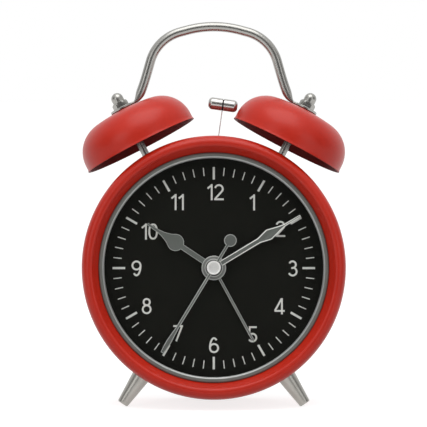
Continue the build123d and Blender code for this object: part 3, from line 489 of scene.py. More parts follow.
@dataclass(frozen=True)
class Wrap(Finish):
    """Printed shrink sleeve of a cell: plain bands of two colours, glossy, with fine creases."""

    band: Colour = (0.55, 0.30, 0.10)
    split_m: float = 0.012
    split_soft_m: float = 0.0004
    crease_mm: float = 1.4
    stretch: Point3 = (0.2, 1.0, 1.0)

    def dress(self, tree: MaterialTree) -> None:
        """Add the band and the creases.

        Args:
            tree: Tree to dress.
        """
        here = tree.place()
        edge = tree.axis(here, "X").above(self.split_m, self.split_soft_m)
        tree.give("Base Color", tree.blend(edge, self.colour, self.band))
        tree.relief(tree.noise(tree.scaled(here, self.stretch), self.crease_mm), 0.03, 0.3)


RED = Paint("clock_red_enamel", (0.52, 0.018, 0.005), 0.35, (0.46, 0.013, 0.003))
# Inside of the gongs and the rim's underside: the red darkened as painted shade.
RED_SHADE = Paint("clock_red_painted_shade_inside", (0.24, 0.014, 0.011), 0.55, (0.20, 0.011, 0.008))
NICKEL = Metal(
    "satin_nickel", (0.36, 0.355, 0.335), 0.27, Grain.NONE, 0.3, (0.34, 0.335, 0.315), 0.95, 0.12
)
NICKEL_FOOT = Metal(
    "brushed_nickel_feet", (0.42, 0.41, 0.38), 0.3, Grain.UPRIGHT, 0.2, (0.34, 0.33, 0.3), 0.95, 0.4
)
CHROME = Metal(
    "polished_chrome", (0.47, 0.46, 0.44), 0.22, Grain.NONE, 0.4, (0.44, 0.43, 0.41), 0.95, 0.12
)
# Waist groove of the hammer: near black, painted shade in the groove.
GROOVE_SHADE = Metal("hammer_groove_painted_shade", (0.06, 0.05, 0.05), 0.5, Grain.NONE, 0.4, (0.04, 0.035, 0.035), 0.5)
TRIM = SpunMetal("spun_trim_ring", (0.40, 0.41, 0.40), 0.38, (0.32, 0.33, 0.32), 0.5)
# Outer half of the trim ring: the same spun metal darkened as painted shade under the bezel's lip.
TRIM_OUTER_SHADE = SpunMetal(
    "spun_trim_ring_painted_shade", (0.17, 0.175, 0.16), 0.46, (0.13, 0.135, 0.125), 0.5
)
HAND = Metal(
    "satin_hands", (0.128, 0.141, 0.128), 0.46, Grain.UPRIGHT, 0.2, (0.108, 0.119, 0.108), 0.3
)
HAND_DARK = Metal(
    "dark_hand_ridge", (0.115, 0.125, 0.115), 0.46, Grain.UPRIGHT, 0.2, (0.10, 0.107, 0.10), 0.3
)
# Hand edges: lighter colours painted on as highlights where the edges catch light.
HAND_HIGHLIGHT = Metal(
    "hand_edge_painted_highlight", (0.86, 0.87, 0.83), 0.40, Grain.UPRIGHT, 0.2, (0.80, 0.81, 0.77), 0.0
)
HAND_SOFT_HIGHLIGHT = Metal(
    "hand_edge_soft_painted_highlight", (0.44, 0.46, 0.43), 0.42, Grain.UPRIGHT, 0.2, (0.37, 0.385, 0.36), 0.1
)
CAP = SpunMetal("satin_cap", (0.78, 0.78, 0.76), 0.30, (0.68, 0.68, 0.66), 0.25)
# Rim of the cap: the cap's metal lightened as a painted highlight.
CAP_RIM_HIGHLIGHT = SpunMetal("cap_rim_painted_highlight", (0.95, 0.95, 0.93), 0.30, (0.88, 0.88, 0.86), 0.1)
# Collar of the minute, alarm and second bosses: spun metal darkened as painted shade round the cap.
COLLAR_SHADE = SpunMetal("collar_painted_shade", (0.11, 0.115, 0.105), 0.42, (0.08, 0.085, 0.08), 0.4)
COLLAR_LIGHT = SpunMetal("hour_collar", (0.24, 0.25, 0.235), 0.42, (0.19, 0.20, 0.19), 0.3)
# Outer ring of each boss: spun metal lightened as a painted highlight.
COLLAR_EDGE_HIGHLIGHT = SpunMetal("collar_edge_painted_highlight", (0.50, 0.51, 0.48), 0.40, (0.42, 0.43, 0.41), 0.15)
INK = Ink("dial_print", (0.71, 0.72, 0.68), 0.6)
FRAME_BLACK = Moulded("dial_frame_black", (0.012, 0.012, 0.012), 0.5, (0.02, 0.02, 0.02))
WIRE = Metal("bright_wire", (0.80, 0.80, 0.78), 0.5, Grain.UPRIGHT, 0.15, (0.70, 0.70, 0.68), 0.3)


class Slot(Enum):
    """Material slots of the record, each with the finish of its plain pieces."""

    RED_PAINT = "red_paint", RED
    NICKEL = "nickel", NICKEL
    CHROME = "chrome_bright", CHROME
    STEEL = "steel", Metal(
        "drawn_steel", (0.56, 0.56, 0.57), 0.30, Grain.ACROSS, 0.15, (0.42, 0.42, 0.43)
    )
    HANDS = "hand_metal", HAND
    DIAL = "dial_black", DialLacquer("dial_black_lacquer", (0.0042, 0.0045, 0.0028), 0.8)
    CLEAR = "clear", Clear("clear_lens", (0.95, 0.96, 0.96), 0.10)
    BLACK = "black_plastic", Moulded(
        "black_moulding", (0.016, 0.016, 0.016), 0.55, (0.030, 0.030, 0.030)
    )
    MOVEMENT = "movement_plastic", Moulded(
        "movement_grey", (0.10, 0.10, 0.105), 0.5, (0.14, 0.14, 0.145)
    )
    WHEELS = "wheel_plastic", Moulded(
        "wheel_acetal", (0.66, 0.66, 0.60), 0.4, (0.74, 0.74, 0.70), 0.2, 0.006
    )
    BRASS = "brass", SpunMetal("cut_brass", (0.78, 0.60, 0.28), 0.30, (0.60, 0.44, 0.18))
    COPPER = "copper", Metal(
        "enamelled_wire", (0.62, 0.26, 0.12), 0.35, Grain.NONE, 0.12, (0.42, 0.15, 0.06)
    )
    MAGNET = "magnet", Metal(
        "sintered_magnet", (0.22, 0.22, 0.22), 0.45, Grain.NONE, 0.3, (0.14, 0.14, 0.14)
    )
    BOARD = "board", Moulded("circuit_board_green", (0.012, 0.07, 0.03), 0.35, (0.02, 0.11, 0.05))
    CELL = "cell_wrap", Wrap("cell_sleeve", (0.06, 0.065, 0.07), 0.28)

    def __init__(self, label: str, plain: Finish) -> None:
        """Keep the slot's label and finish."""
        self.label = label
        self.plain = plain


# ---- mesh building
Ring = Sequence[bmesh.types.BMVert]


class Turning(Enum):
    """Axis that a piece is turned about."""

    SPINDLE = "Y"
    POST = "Z"


class Piece:
    """One mesh piece under construction, in millimetres of its own frame."""

    def __init__(self, name: str) -> None:
        """Start an empty mesh.

        Args:
            name: Name of the object that it becomes.
        """
        self.name = name
        self.mesh = bmesh.new()
        self.local = Matrix()

    def point(self, x: float, y: float, z: float) -> bmesh.types.BMVert:
        """New vertex at a place given in mm of the local frame."""
        return self.mesh.verts.new(self.local @ (Vector((x, y, z)) * MM))

    def bridge(
        self, a: Ring, b: Ring, bands: Sequence[int] = (), gaps: Sequence[int] = ()
    ) -> None:
        """Join two rings by a band of faces.

        Args:
            a: Vertices of a ring.
            b: Vertices of the next ring.
            bands: Material number of the face that starts at each vertex, 0 where none is given.
            gaps: Vertices at which no face starts.
        """
        for i in range(len(a)):
            if i not in gaps:
                j = (i + 1) % len(a)
                face = self.mesh.faces.new((a[i], a[j], b[j], b[i]))
                face.material_index = bands[i] if i < len(bands) else 0

    def lathe(
        self,
        section: Sequence[Point2],
        steps: int,
        turning: Turning = Turning.SPINDLE,
        bands: Sequence[int] = (),
        flats: float = 0.0,
    ) -> "Piece":
        """Turn a closed section about an axis.

        Args:
            section: (radius, position along the axis) points of a closed outline.
            steps: Number of steps round.
            turning: The axis.
            bands: Material number of the band that starts at each point, 0 where none is given.
            flats: Width across flats of a hexagon that trims the turning, 0 for none.

        Returns:
            The piece itself.
        """
        rings = []
        for step in range(steps):
            a = 360 * step / steps
            limit = flats / 2 / math.cos(math.radians((a + 30) % 60 - 30)) if flats else math.inf
            s, c = math.sin(math.radians(a)), math.cos(math.radians(a))
            ring = []
            for r, h in section:
                x, other = min(r, limit) * s, min(r, limit) * c
                spot = (x, h, other) if turning is Turning.SPINDLE else (x, other, h)
                ring.append(self.point(*spot))
            rings.append(ring)
        for step, ring in enumerate(rings):
            self.bridge(ring, rings[(step + 1) % steps], bands)
        bmesh.ops.remove_doubles(self.mesh, verts=[v for ring in rings for v in ring], dist=1e-7)
        return self

    def plate(self, outline: Sequence[Point2], front: float, back: float) -> bmesh.types.BMFace:
        """Flat plate between two depths.

        Args:
            outline: (x, z) points.
            front: Depth of the face nearest the viewer.
            back: Depth of the far face.

        Returns:
            The front face.
        """
        near = [self.point(x, front, z) for x, z in outline]
        far = [self.point(x, back, z) for x, z in outline]
        face = self.mesh.faces.new(near)
        count = len(outline)
        for i in range(count):
            j = (i + 1) % count
            self.mesh.faces.new((near[i], far[i], far[j], near[j]))
        self.mesh.faces.new(far[::-1])
        return face

    def sweep(
        self, path: Sequence[Vector], sections: Sequence[Sequence[Point2]], side: Vector
    ) -> None:
        """Skin a run of sections along a path that lies square to a fixed direction.

        Args:
            path: Points in mm.
            sections: One (across, side) outline for each point, all of one length.
            side: Direction square to the whole path.
        """
        rings = []
        last = len(path) - 1
        for i, point in enumerate(path):
            ahead = (path[min(i + 1, last)] - path[max(i - 1, 0)]).normalized()
            across = side.cross(ahead).normalized()
            rings.append([self.point(*(point + across * u + side * v)) for u, v in sections[i]])
        for a, b in zip(rings, rings[1:]):
            self.bridge(a, b)
        self.mesh.faces.new(rings[0][::-1])
        self.mesh.faces.new(rings[-1])

    def finish(
        self,
        finishes: Sequence[Finish],
        body: str,
        slot: Slot,
        node: str = "",
        crease: float = 35.0,
        matrix: Matrix = SPACE.matrix,
    ) -> None:
        """Turn the mesh into an object that rides on a body.

        Args:
            finishes: Finishes of the material numbers.
            body: Body that carries the piece.
            slot: Material slot of the record; not used.
            node: CAD node that it stands for, if any.
            crease: Angle above which an edge stays sharp.
            matrix: Frame of the piece.
        """
        bmesh.ops.recalc_face_normals(self.mesh, faces=self.mesh.faces)
        data = bpy.data.meshes.new(self.name)
        self.mesh.to_mesh(data)
        self.mesh.free()
        data.transform(matrix)
        piece = placed(self.name, data)
        for finish in finishes:
            data.materials.append(finish.make())
        data.shade_smooth()
        data.set_sharp_from_angle(angle=math.radians(crease))
        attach(piece, body)
        if node:
            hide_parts(node)
        log.info("built %s on %s", self.name, body)


def arc(cx: float, cy: float, r: float, start: float, end: float, steps: int) -> list[Point2]:
    """Points of an arc between two angles, in degrees from +x towards +y."""
    angles = (math.radians(start + (end - start) * i / steps) for i in range(steps + 1))
    return [(cx + r * math.cos(a), cy + r * math.sin(a)) for a in angles]


def mirrored(points: Sequence[Point2]) -> list[Point2]:
    """Points on the other side of the upright axis, in reverse order."""
    return [(-x, z) for x, z in reversed(points)]


def turn_clockwise(points: Iterable[Point2], bearing: float) -> list[Point2]:
    """Points turned clockwise from 12 by a clock angle."""
    s, c = math.sin(math.radians(bearing)), math.cos(math.radians(bearing))
    return [(x * c + z * s, z * c - x * s) for x, z in points]


def rounded_path(corners: Sequence[Vector], radii: Sequence[float], steps: int) -> list[Vector]:
    """Straight runs joined by arcs.

    Args:
        corners: Corner points.
        radii: Radius of the arc at each inner corner.
        steps: Steps of each arc.

    Returns:
        Points along the path.
    """
    path = [corners[0]]
    for before, corner, after, radius in zip(corners, corners[1:], corners[2:], radii):
        a, b = (before - corner).normalized(), (after - corner).normalized()
        half = a.angle(b) / 2
        centre = corner + (a + b).normalized() * (radius / math.sin(half))
        first = corner + a * (radius / math.tan(half)) - centre
        last = corner + b * (radius / math.tan(half)) - centre
        sweep = first.angle(last)
        for i in range(steps + 1):
            t = i / steps
            shares = [math.sin(share * sweep) / math.sin(sweep) for share in (1 - t, t)]
            path.append(centre + first * shares[0] + last * shares[1])
    return path + [corners[-1]]


def soft_oval(across: float, side: float, power: float, steps: int = 36) -> list[Point2]:
    """Closed outline between an ellipse and a rounded rectangle.

    Args:
        across: Half width.
        side: Half height.
        power: 2 for an ellipse, more for a squarer outline.
        steps: Number of points.

    Returns:
        The points.
    """
    points = []
    for i in range(steps):
        c, s = math.cos(2 * math.pi * i / steps), math.sin(2 * math.pi * i / steps)
        u = across * math.copysign(abs(c) ** (2 / power), c)
        points.append((u, side * math.copysign(abs(s) ** (2 / power), s)))
    return points


# ---- case
@dataclass
class Case:
    """Drum, bezel and trim ring."""

    radius: float = 59.0
    sheet: float = 0.8
    shoulder_depth: float = 4.5
    crest_radius: float = 55.6
    bevel_fall: float = 1.15
    bevel_width: float = 1.7
    lip_radius: float = 51.5
    lip_depth: float = 5.0
    skirt: float = 9.5
    skirt_ease: float = 0.25
    trim_inner: float = 48.9
    trim_front: float = 4.2
    trim_drop: float = 1.2
    trim_outer_drop: float = 0.75
    trim_flange: float = 52.8
    trim_flange_front: float = 5.45
    trim_seat: float = 6.2
    drum_radius: float = SPACE.DRUM_RADIUS
    drum_front: float = 4.8
    drum_rear: float = 49.5
    hem_round: float = 0.4
    hem_inner: float = 55.75
    slot_width: float = 8.0
    slot_front: float = 23.4
    slot_rear: float = 26.6
    slot_steps: int = 8
    ring_steps: int = 256

    def bezel_section(self) -> list[Point2]:
        """Rolled section: skirt, round shoulder, crest, bevel and return lip.

        Returns:
            Closed outline of (radius, depth) points.
        """
        r, d, crest, lip, deep = (
            self.radius, self.shoulder_depth, self.crest_radius, self.lip_radius, self.lip_depth
        )
        section = [(r, self.skirt - self.skirt_ease), (r, d + 0.6)]
        for i in range(13):
            a = math.radians(90 * i / 12)
            section.append((crest + (r - crest) * math.cos(a), d * (1 - math.sin(a))))
        for i in range(1, 7):
            a = math.radians(60 * i / 6)
            fall = self.bevel_fall * (1 - math.cos(a))
            section.append((crest - self.bevel_width * math.sin(a), fall))
        section += [(lip + 0.55, deep - 0.95), (lip + 0.12, deep - 0.2), (lip, deep)]
        section += [(lip + 0.35, deep + 0.3), (lip + 1.2, deep - 0.7), (54.75, 1.35)]
        section += [(crest + 0.2, self.sheet + 0.05), (56.4, 1.1), (57.3, 1.9), (57.9, 3.0)]
        section += [(r - self.sheet, d), (r - self.sheet, self.skirt)]
        return section + [(r - self.skirt_ease, self.skirt)]

    def trim_section(self) -> list[Point2]:
        """Half-round bright ring with a flat foot on the lens.

        Returns:
            Closed outline of (radius, depth) points.
        """
        inner, outer = self.trim_inner, self.lip_radius - 0.04
        mid, half = (inner + outer) / 2, (outer - inner) / 2
        section = [(inner, self.trim_seat), (inner, self.trim_front + self.trim_drop + 0.1)]
        for i in range(17):
            a = math.radians(180 - 180 * i / 16)
            drop = self.trim_drop if i < 8 else self.trim_outer_drop
            section.append((mid + half * math.cos(a), self.trim_front + drop - drop * math.sin(a)))
        flange = [(radius, self.trim_flange_front) for radius in (outer, self.trim_flange)]
        return section + flange + [(self.trim_flange, self.trim_seat)]

    def drum_section(self) -> list[Point2]:
        """Rolled sheet with a hemmed rear edge.

        Returns:
            Closed outline of (radius, depth) points.
        """
        r, rear, t, hem = self.drum_radius, self.drum_rear, self.sheet, self.hem_round
        depths = (self.drum_front, self.slot_front, self.slot_rear)
        section = [(r, depth) for depth in depths] + [(r, rear - hem)]
        section += arc(r - hem, rear - hem, hem, 0, 90, 6)[1:]
        section += [(self.hem_inner + 0.2, rear), (self.hem_inner, rear - 0.2)]
        section += [(self.hem_inner, rear - t), (r - t, rear - t)]
        return section + [(r - t, depth) for depth in depths[::-1]]

    def drum(self) -> Piece:
        """Drum skin with the slot that the hammer's wire passes through.

        Returns:
            The piece.
        """
        piece = Piece("drum_rolled")
        section, cut = self.drum_section(), self.slot_steps
        half = math.degrees(math.asin(self.slot_width / 2 / self.drum_radius))
        angles = [-half + 2 * half * i / cut for i in range(cut + 1)]
        rest = self.ring_steps - cut
        angles += [half + (360 - 2 * half) * i / rest for i in range(1, rest)]
        rings = []
        for a in angles:
            s, c = math.sin(math.radians(a)), math.cos(math.radians(a))
            rings.append([piece.point(r * s, y, r * c) for r, y in section])
        outer, inner = 1, len(section) - 3
        for step, a in enumerate(rings):
            b = rings[(step + 1) % len(rings)]
            piece.bridge(a, b, gaps=(outer, inner) if step < cut else ())
            if step < cut:
                for i, j in ((outer, inner + 1), (outer + 1, inner)):
                    piece.mesh.faces.new((a[i], b[i], b[j], a[j]))
        for ring in (rings[0], rings[cut]):
            piece.mesh.faces.new((ring[outer], ring[outer + 1], ring[inner], ring[inner + 1]))
        return piece

    def build(self) -> None:
        """Build and dress the case."""
        bezel = Piece("bezel_rolled").lathe(self.bezel_section(), self.ring_steps)
        bezel.finish([RED], "case", Slot.RED_PAINT, "bezel_ring", 50)
        trim = Piece("trim_ring_spun")
        # the outer half of the half-round takes the darker copy, painted shade
        trim.lathe(self.trim_section(), self.ring_steps, bands=[0] * 8 + [1] * 15)
        trim.finish([TRIM, TRIM_OUTER_SHADE], "case", Slot.NICKEL, "trim_ring", 40)
        self.drum().finish([RED], "case", Slot.RED_PAINT, "case_drum", 40)


# ---- dial
class Figures:
    """Plain upright numerals drawn as strokes of one width, on a body one unit high."""

    WIDTHS = {"0": 0.585, "1": 0.36, "4": 0.63, "6": 0.63, "9": 0.63}
    WIDTH = 0.60
    SPACE = 0.095
    LAYER = 0.004

    def __init__(self, height: float, stroke: float) -> None:
        """Set the height and the stroke, in mm."""
        self.height = height
        self.stroke = stroke

    def strokes(self, digit: str) -> tuple[float, list[list[Point2]]]:
        """Centre lines of a digit, in units of the height.

        Args:
            digit: One of 0 to 9.

        Returns:
            Advance width, and the strokes.
        """
        w, t = self.WIDTHS.get(digit, self.WIDTH), self.stroke / self.height / 2
        lo, hi, left, right = t, 1 - t, t, w - t
        cx, round_half = (left + right) / 2, (right - left) / 2 - 0.005
        if digit == "0":
            ring = [(cx + x, 0.5 + y) for x, y in soft_oval((right - left) / 2, 0.5 - t, 2.35, 48)]
            return w, [ring + [ring[0]]]
        if digit == "1":
            return w, [[(right, 0), (right, 1.0)], [(right - 0.01, hi - 0.02), (0.045, hi - 0.215)]]
        if digit == "2":
            top = arc(cx, hi - round_half, round_half, 165, -38, 18)
            return w, [top + [(left + 0.02, lo + 0.05)], [(left - t, lo), (w, lo)]]
        if digit == "3":
            upper, lower = 0.205, 0.245
            top = arc(cx - 0.01, hi - upper, upper, 158, -88, 18)
            waist = hi - 2 * upper - 0.01
            bowl = arc(cx, lo + lower, lower, 88, -158, 18)
            return w, [top, bowl, [(cx - 0.09, waist), (cx + 0.02, waist)]]
        if digit == "4":
            stem, slant = 0.46, [(0.46 - 0.015, 0.985), (left - 0.03, 0.225)]
            return w, [[(stem, 0.0), (stem, 1.0)], slant, [(left - t, 0.215), (w, 0.215)]]
        if digit == "5":
            lower = 0.24
            back = [(left + 0.07, 1.0), (left + 0.035, 0.47)]
            bowl = arc(cx - 0.01, lo + lower, lower, 132, -150, 20)
            return w, [[(right + 0.01, hi), (left + 0.05, hi)], back, bowl]
        if digit == "7":
            return w, [[(left - t, hi), (w, hi)], [(right, hi), (cx - 0.12, 0.0)]]
        if digit == "8":
            upper, lower = 0.195, 0.245
            top = arc(cx, hi - upper, upper, 0, 360, 24)
            return w, [top, arc(cx, lo + lower, lower, 0, 360, 28)]
        ring = arc(cx, lo + round_half, round_half, 0, 360, 28)
        rise = 0.95 - 2 * t - round_half
        angles = [math.radians(a) for a in range(0, 131, 8)]
        hook = [
            (cx - round_half * math.cos(a), lo + round_half + rise * math.sin(a) * 1.055)
            for a in angles
        ]
        if digit == "9":
            ring, hook = ([(w - x, 1 - y) for x, y in line] for line in (ring, hook))
        return w, [ring, hook]

    def ribbon(self, line: Sequence[Point2]) -> list[tuple[Point2, Point2]]:
        """Widen a stroke.

        Args:
            line: Centre line, in units of the height.

        Returns:
            Left and right edge points along it, in mm.
        """
        half = self.stroke / 2
        pts = [(x * self.height, y * self.height) for x, y in line]
        closed = math.dist(pts[0], pts[-1]) < 1e-6
        edges = []
        for i, (x, y) in enumerate(pts):
            before = pts[i - 1] if i else (pts[-2] if closed else pts[0])
            after = pts[i + 1] if i + 1 < len(pts) else (pts[1] if closed else pts[-1])
            dx, dy = after[0] - before[0], after[1] - before[1]
            size = math.hypot(dx, dy)
            nx, ny = -dy / size * half, dx / size * half
            edges.append(((x + nx, y + ny), (x - nx, y - ny)))
        return edges

    def write(self, piece: Piece, text: str, x: float, z: float, depth: float) -> None:
        """Print a number centred on a point.

        Args:
            piece: Piece that takes the strokes.
            text: Digits.
            x: Centre across.
            z: Centre up.
            depth: Depth of the printed film.
        """
        drawn = [self.strokes(d) for d in text]
        total = sum(width for width, _ in drawn) + self.SPACE * (len(drawn) - 1)
        pen = x - total * self.height / 2
        base = z - self.height / 2
        for width, lines in drawn:
            for layer, line in enumerate(lines):
                edges = self.ribbon(line)
                film = depth - self.LAYER * layer
                pairs = [[piece.point(pen + px, film, base + pz) for px, pz in e] for e in edges]
                for a, b in zip(pairs, pairs[1:]):
                    piece.mesh.faces.new((a[0], a[1], b[1], b[0]))
            pen += (width + self.SPACE) * self.height


@dataclass
class Dial:
    """Printed ticks and numbers of the black dial plate."""

    front: float = 13.2
    film: float = 0.03
    hour_mark: Point3 = (39.8, 45.4, 0.98)
    minute_mark: Point3 = (41.6, 45.3, 0.43)
    figure_height: float = 7.2
    figure_stroke: float = 0.81
    figure_places: tuple[Point2, ...] = (
        (17.2, 29.5), (29.9, 17.6), (35.4, -0.15), (29.5, -17.15), (17.4, -29.7), (0.1, -34.5),
        (-16.0, -29.2), (-30.1, -17.05), (-34.7, -0.2), (-28.9, 16.4), (-16.4, 29.65), (0.67, 34.1),
    )

    def ticks(self) -> Piece:
        """Sixty printed marks, the hours longer and wider.

        Returns:
            The piece.
        """
        piece = Piece("dial_ticks")
        for minute in range(60):
            inner, outer, width = self.minute_mark if minute % 5 else self.hour_mark
            half = width / 2
            mark = [(-half, inner), (half, inner), (half, outer), (-half, outer)]
            piece.plate(turn_clockwise(mark, 6 * minute), self.front - self.film, self.front)
        return piece

    def figures(self) -> Piece:
        """Upright numbers 1 to 12.

        Returns:
            The piece.
        """
        piece = Piece("dial_figures")
        pen = Figures(self.figure_height, self.figure_stroke)
        for hour, (x, z) in enumerate(self.figure_places, 1):
            pen.write(piece, str(hour), x, z, self.front - self.film)
        return piece

    def build(self) -> None:
        """Build and dress the print."""
        for piece in (self.ticks(), self.figures()):
            piece.finish([INK], "case", Slot.DIAL)


# ---- hands
@dataclass(frozen=True)
class Boss:
    """Round boss of a hand: its radius, the hole in it and its finish."""

    radius: float
    hole: float
    finish: Finish


@dataclass
class Hands:
    """Alarm, hour, minute and second hand with raised edges painted lighter as a highlight, and the cap."""

    thickness: float = 0.4
    second_front: float = 8.9
    step: float = 0.85
    hour_angle: float = 303.6
    minute_angle: float = 58.9
    second_angle: float = 211.3
    alarm_angle: float = 151.4
    edge_rise: float = 0.25
    hour_bulb: float = 20.6
    weight_place: float = -14.3
    cap_radius: float = 3.15
    cap_rise: float = 0.85
    turn_steps: int = 72

    def blade(
        self,
        kind: str,
        outline: Sequence[Point2],
        bearing: float,
        front: float,
        edge: float,
        boss: Boss,
        finishes: Sequence[Finish],
    ) -> None:
        """Stamped hand: flat middle, a rolled edge painted lighter as a highlight, and a round boss.

        Args:
            kind: Which hand, as its body is named.
            outline: Points of the hand pointing at 12.
            bearing: Clock angle.
            front: Depth of its front face.
            edge: Width of the edge painted lighter as a highlight.
            boss: Its boss.
            finishes: Finishes of the flat middle and of the edge's painted highlight.
        """
        piece = Piece(f"{kind}_hand_stamped")
        rise, bottom = edge * self.edge_rise, front + self.thickness
        top = piece.plate(turn_clockwise(outline, bearing), front + rise, bottom)
        piece.mesh.normal_update()
        made = bmesh.ops.inset_region(piece.mesh, faces=[top], thickness=edge * MM, depth=0)
        # the inset rim of the blade takes the edge finish, a painted highlight
        for face in made["faces"]:
            face.material_index = 1
        bmesh.ops.translate(piece.mesh, verts=list(top.verts), vec=Vector((0, -rise * MM, 0)))
        r, hole = boss.radius, boss.hole
        ring = [(hole, front + 0.02), (r - 0.75, front - 0.02), (r - 0.4, front - 0.2)]
        ring += [(r - 0.05, front), (r, bottom), (hole, bottom)]
        before = len(piece.mesh.faces)
        piece.lathe(ring, self.turn_steps)
        piece.mesh.faces.ensure_lookup_table()
        # the outer ring of the boss takes a painted highlight, the rest the boss's own finish
        for face in list(piece.mesh.faces)[before:]:
            middle = face.calc_center_median() / MM
            face.material_index = 3 if math.hypot(middle.x, middle.z) > r - 0.45 else 2
        dress = [*finishes, boss.finish, COLLAR_EDGE_HIGHLIGHT]
        piece.finish(dress, kind, Slot.HANDS, f"{kind}_hand", 25)

    def second_shape(self) -> list[Point2]:
        """Second hand with its round counterweight.

        Returns:
            The outline, pointing at 12.
        """
        stem = [(0.62, -11.6), (0.66, 0), (0.66, 31.5), (1.15, 38.5), (1.1, 41.0), (0.75, 44.5)]
        weight = arc(0, self.weight_place, 2.8, 75, -255, 36)
        return stem + mirrored(stem) + weight[::-1]

    def cap(self, front: float) -> None:
        """Cap over the spindle, with a raised rim painted lighter as a highlight.

        Args:
            front: Depth of the face that it stands on.
        """
        r, top = self.cap_radius, front - self.cap_rise
        dome = [(0.0, front), (r, front), (r, front - 0.55), (r - 0.12, top + 0.06)]
        dome += [(r - 0.36, top), (r - 0.6, top + 0.05), (r - 0.78, top + 0.22)]
        hollow = (2.2, 1.8, 1.4, 1.0, 0.5, 0.0)
        dome += [(k, top + 0.06 + 0.16 * (k / 2.4) ** 2) for k in hollow]
        # the first six bands, the rim, take the painted highlight
        piece = Piece("cap_turned").lathe(dome, self.turn_steps, bands=[1] * 6)
        piece.finish([CAP, CAP_RIM_HIGHLIGHT], "second", Slot.CHROME, "hand_cap", 50)

    def build(self) -> None:
        """Build and dress the hands, back to front."""
        second, minute = self.second_front, self.second_front + self.step
        hour, alarm = minute + self.step, minute + 2 * self.step
        dark, light = [HAND_DARK, HAND_SOFT_HIGHLIGHT], [HAND, HAND_SOFT_HIGHLIGHT]
        shape = [(-0.55, 0), (-0.55, 36.0), (0, 38.0), (0.55, 36.0), (0.55, 0)]
        self.blade("alarm", shape, self.alarm_angle, alarm, 0.3, Boss(4.4, 2.6, COLLAR_SHADE), dark)
        bulb = self.hour_bulb
        half = [(1.2, 0), (1.2, 16.9)] + arc(0, bulb, 3.8, -71.5, 40, 14)
        half += [(2.2, bulb + 3.6), (1.65, bulb + 5.2), (1.1, bulb + 7.0), (0.77, bulb + 9.1)]
        half.append((0.5, 35.7))
        shape, boss = half + mirrored(half), Boss(5.5, 1.9, COLLAR_LIGHT)
        self.blade("hour", shape, self.hour_angle, hour, 0.24, boss, light)
        half = [(1.15, 0), (1.2, 23.6), (2.5, 28.9), (1.05, 34.5), (0.6, 37.0), (0.45, 45.3)]
        # the minute boss's collar is darkened as painted shade next to the cap
        shape, boss = half + mirrored(half), Boss(4.1, 1.2, COLLAR_SHADE)
        self.blade("minute", shape, self.minute_angle, minute, 0.46, boss, [HAND, HAND_HIGHLIGHT])
        shape, boss = self.second_shape(), Boss(2.6, 0.5, COLLAR_SHADE)
        self.blade("second", shape, self.second_angle, second, 0.34, boss, dark)
        self.cap(second)


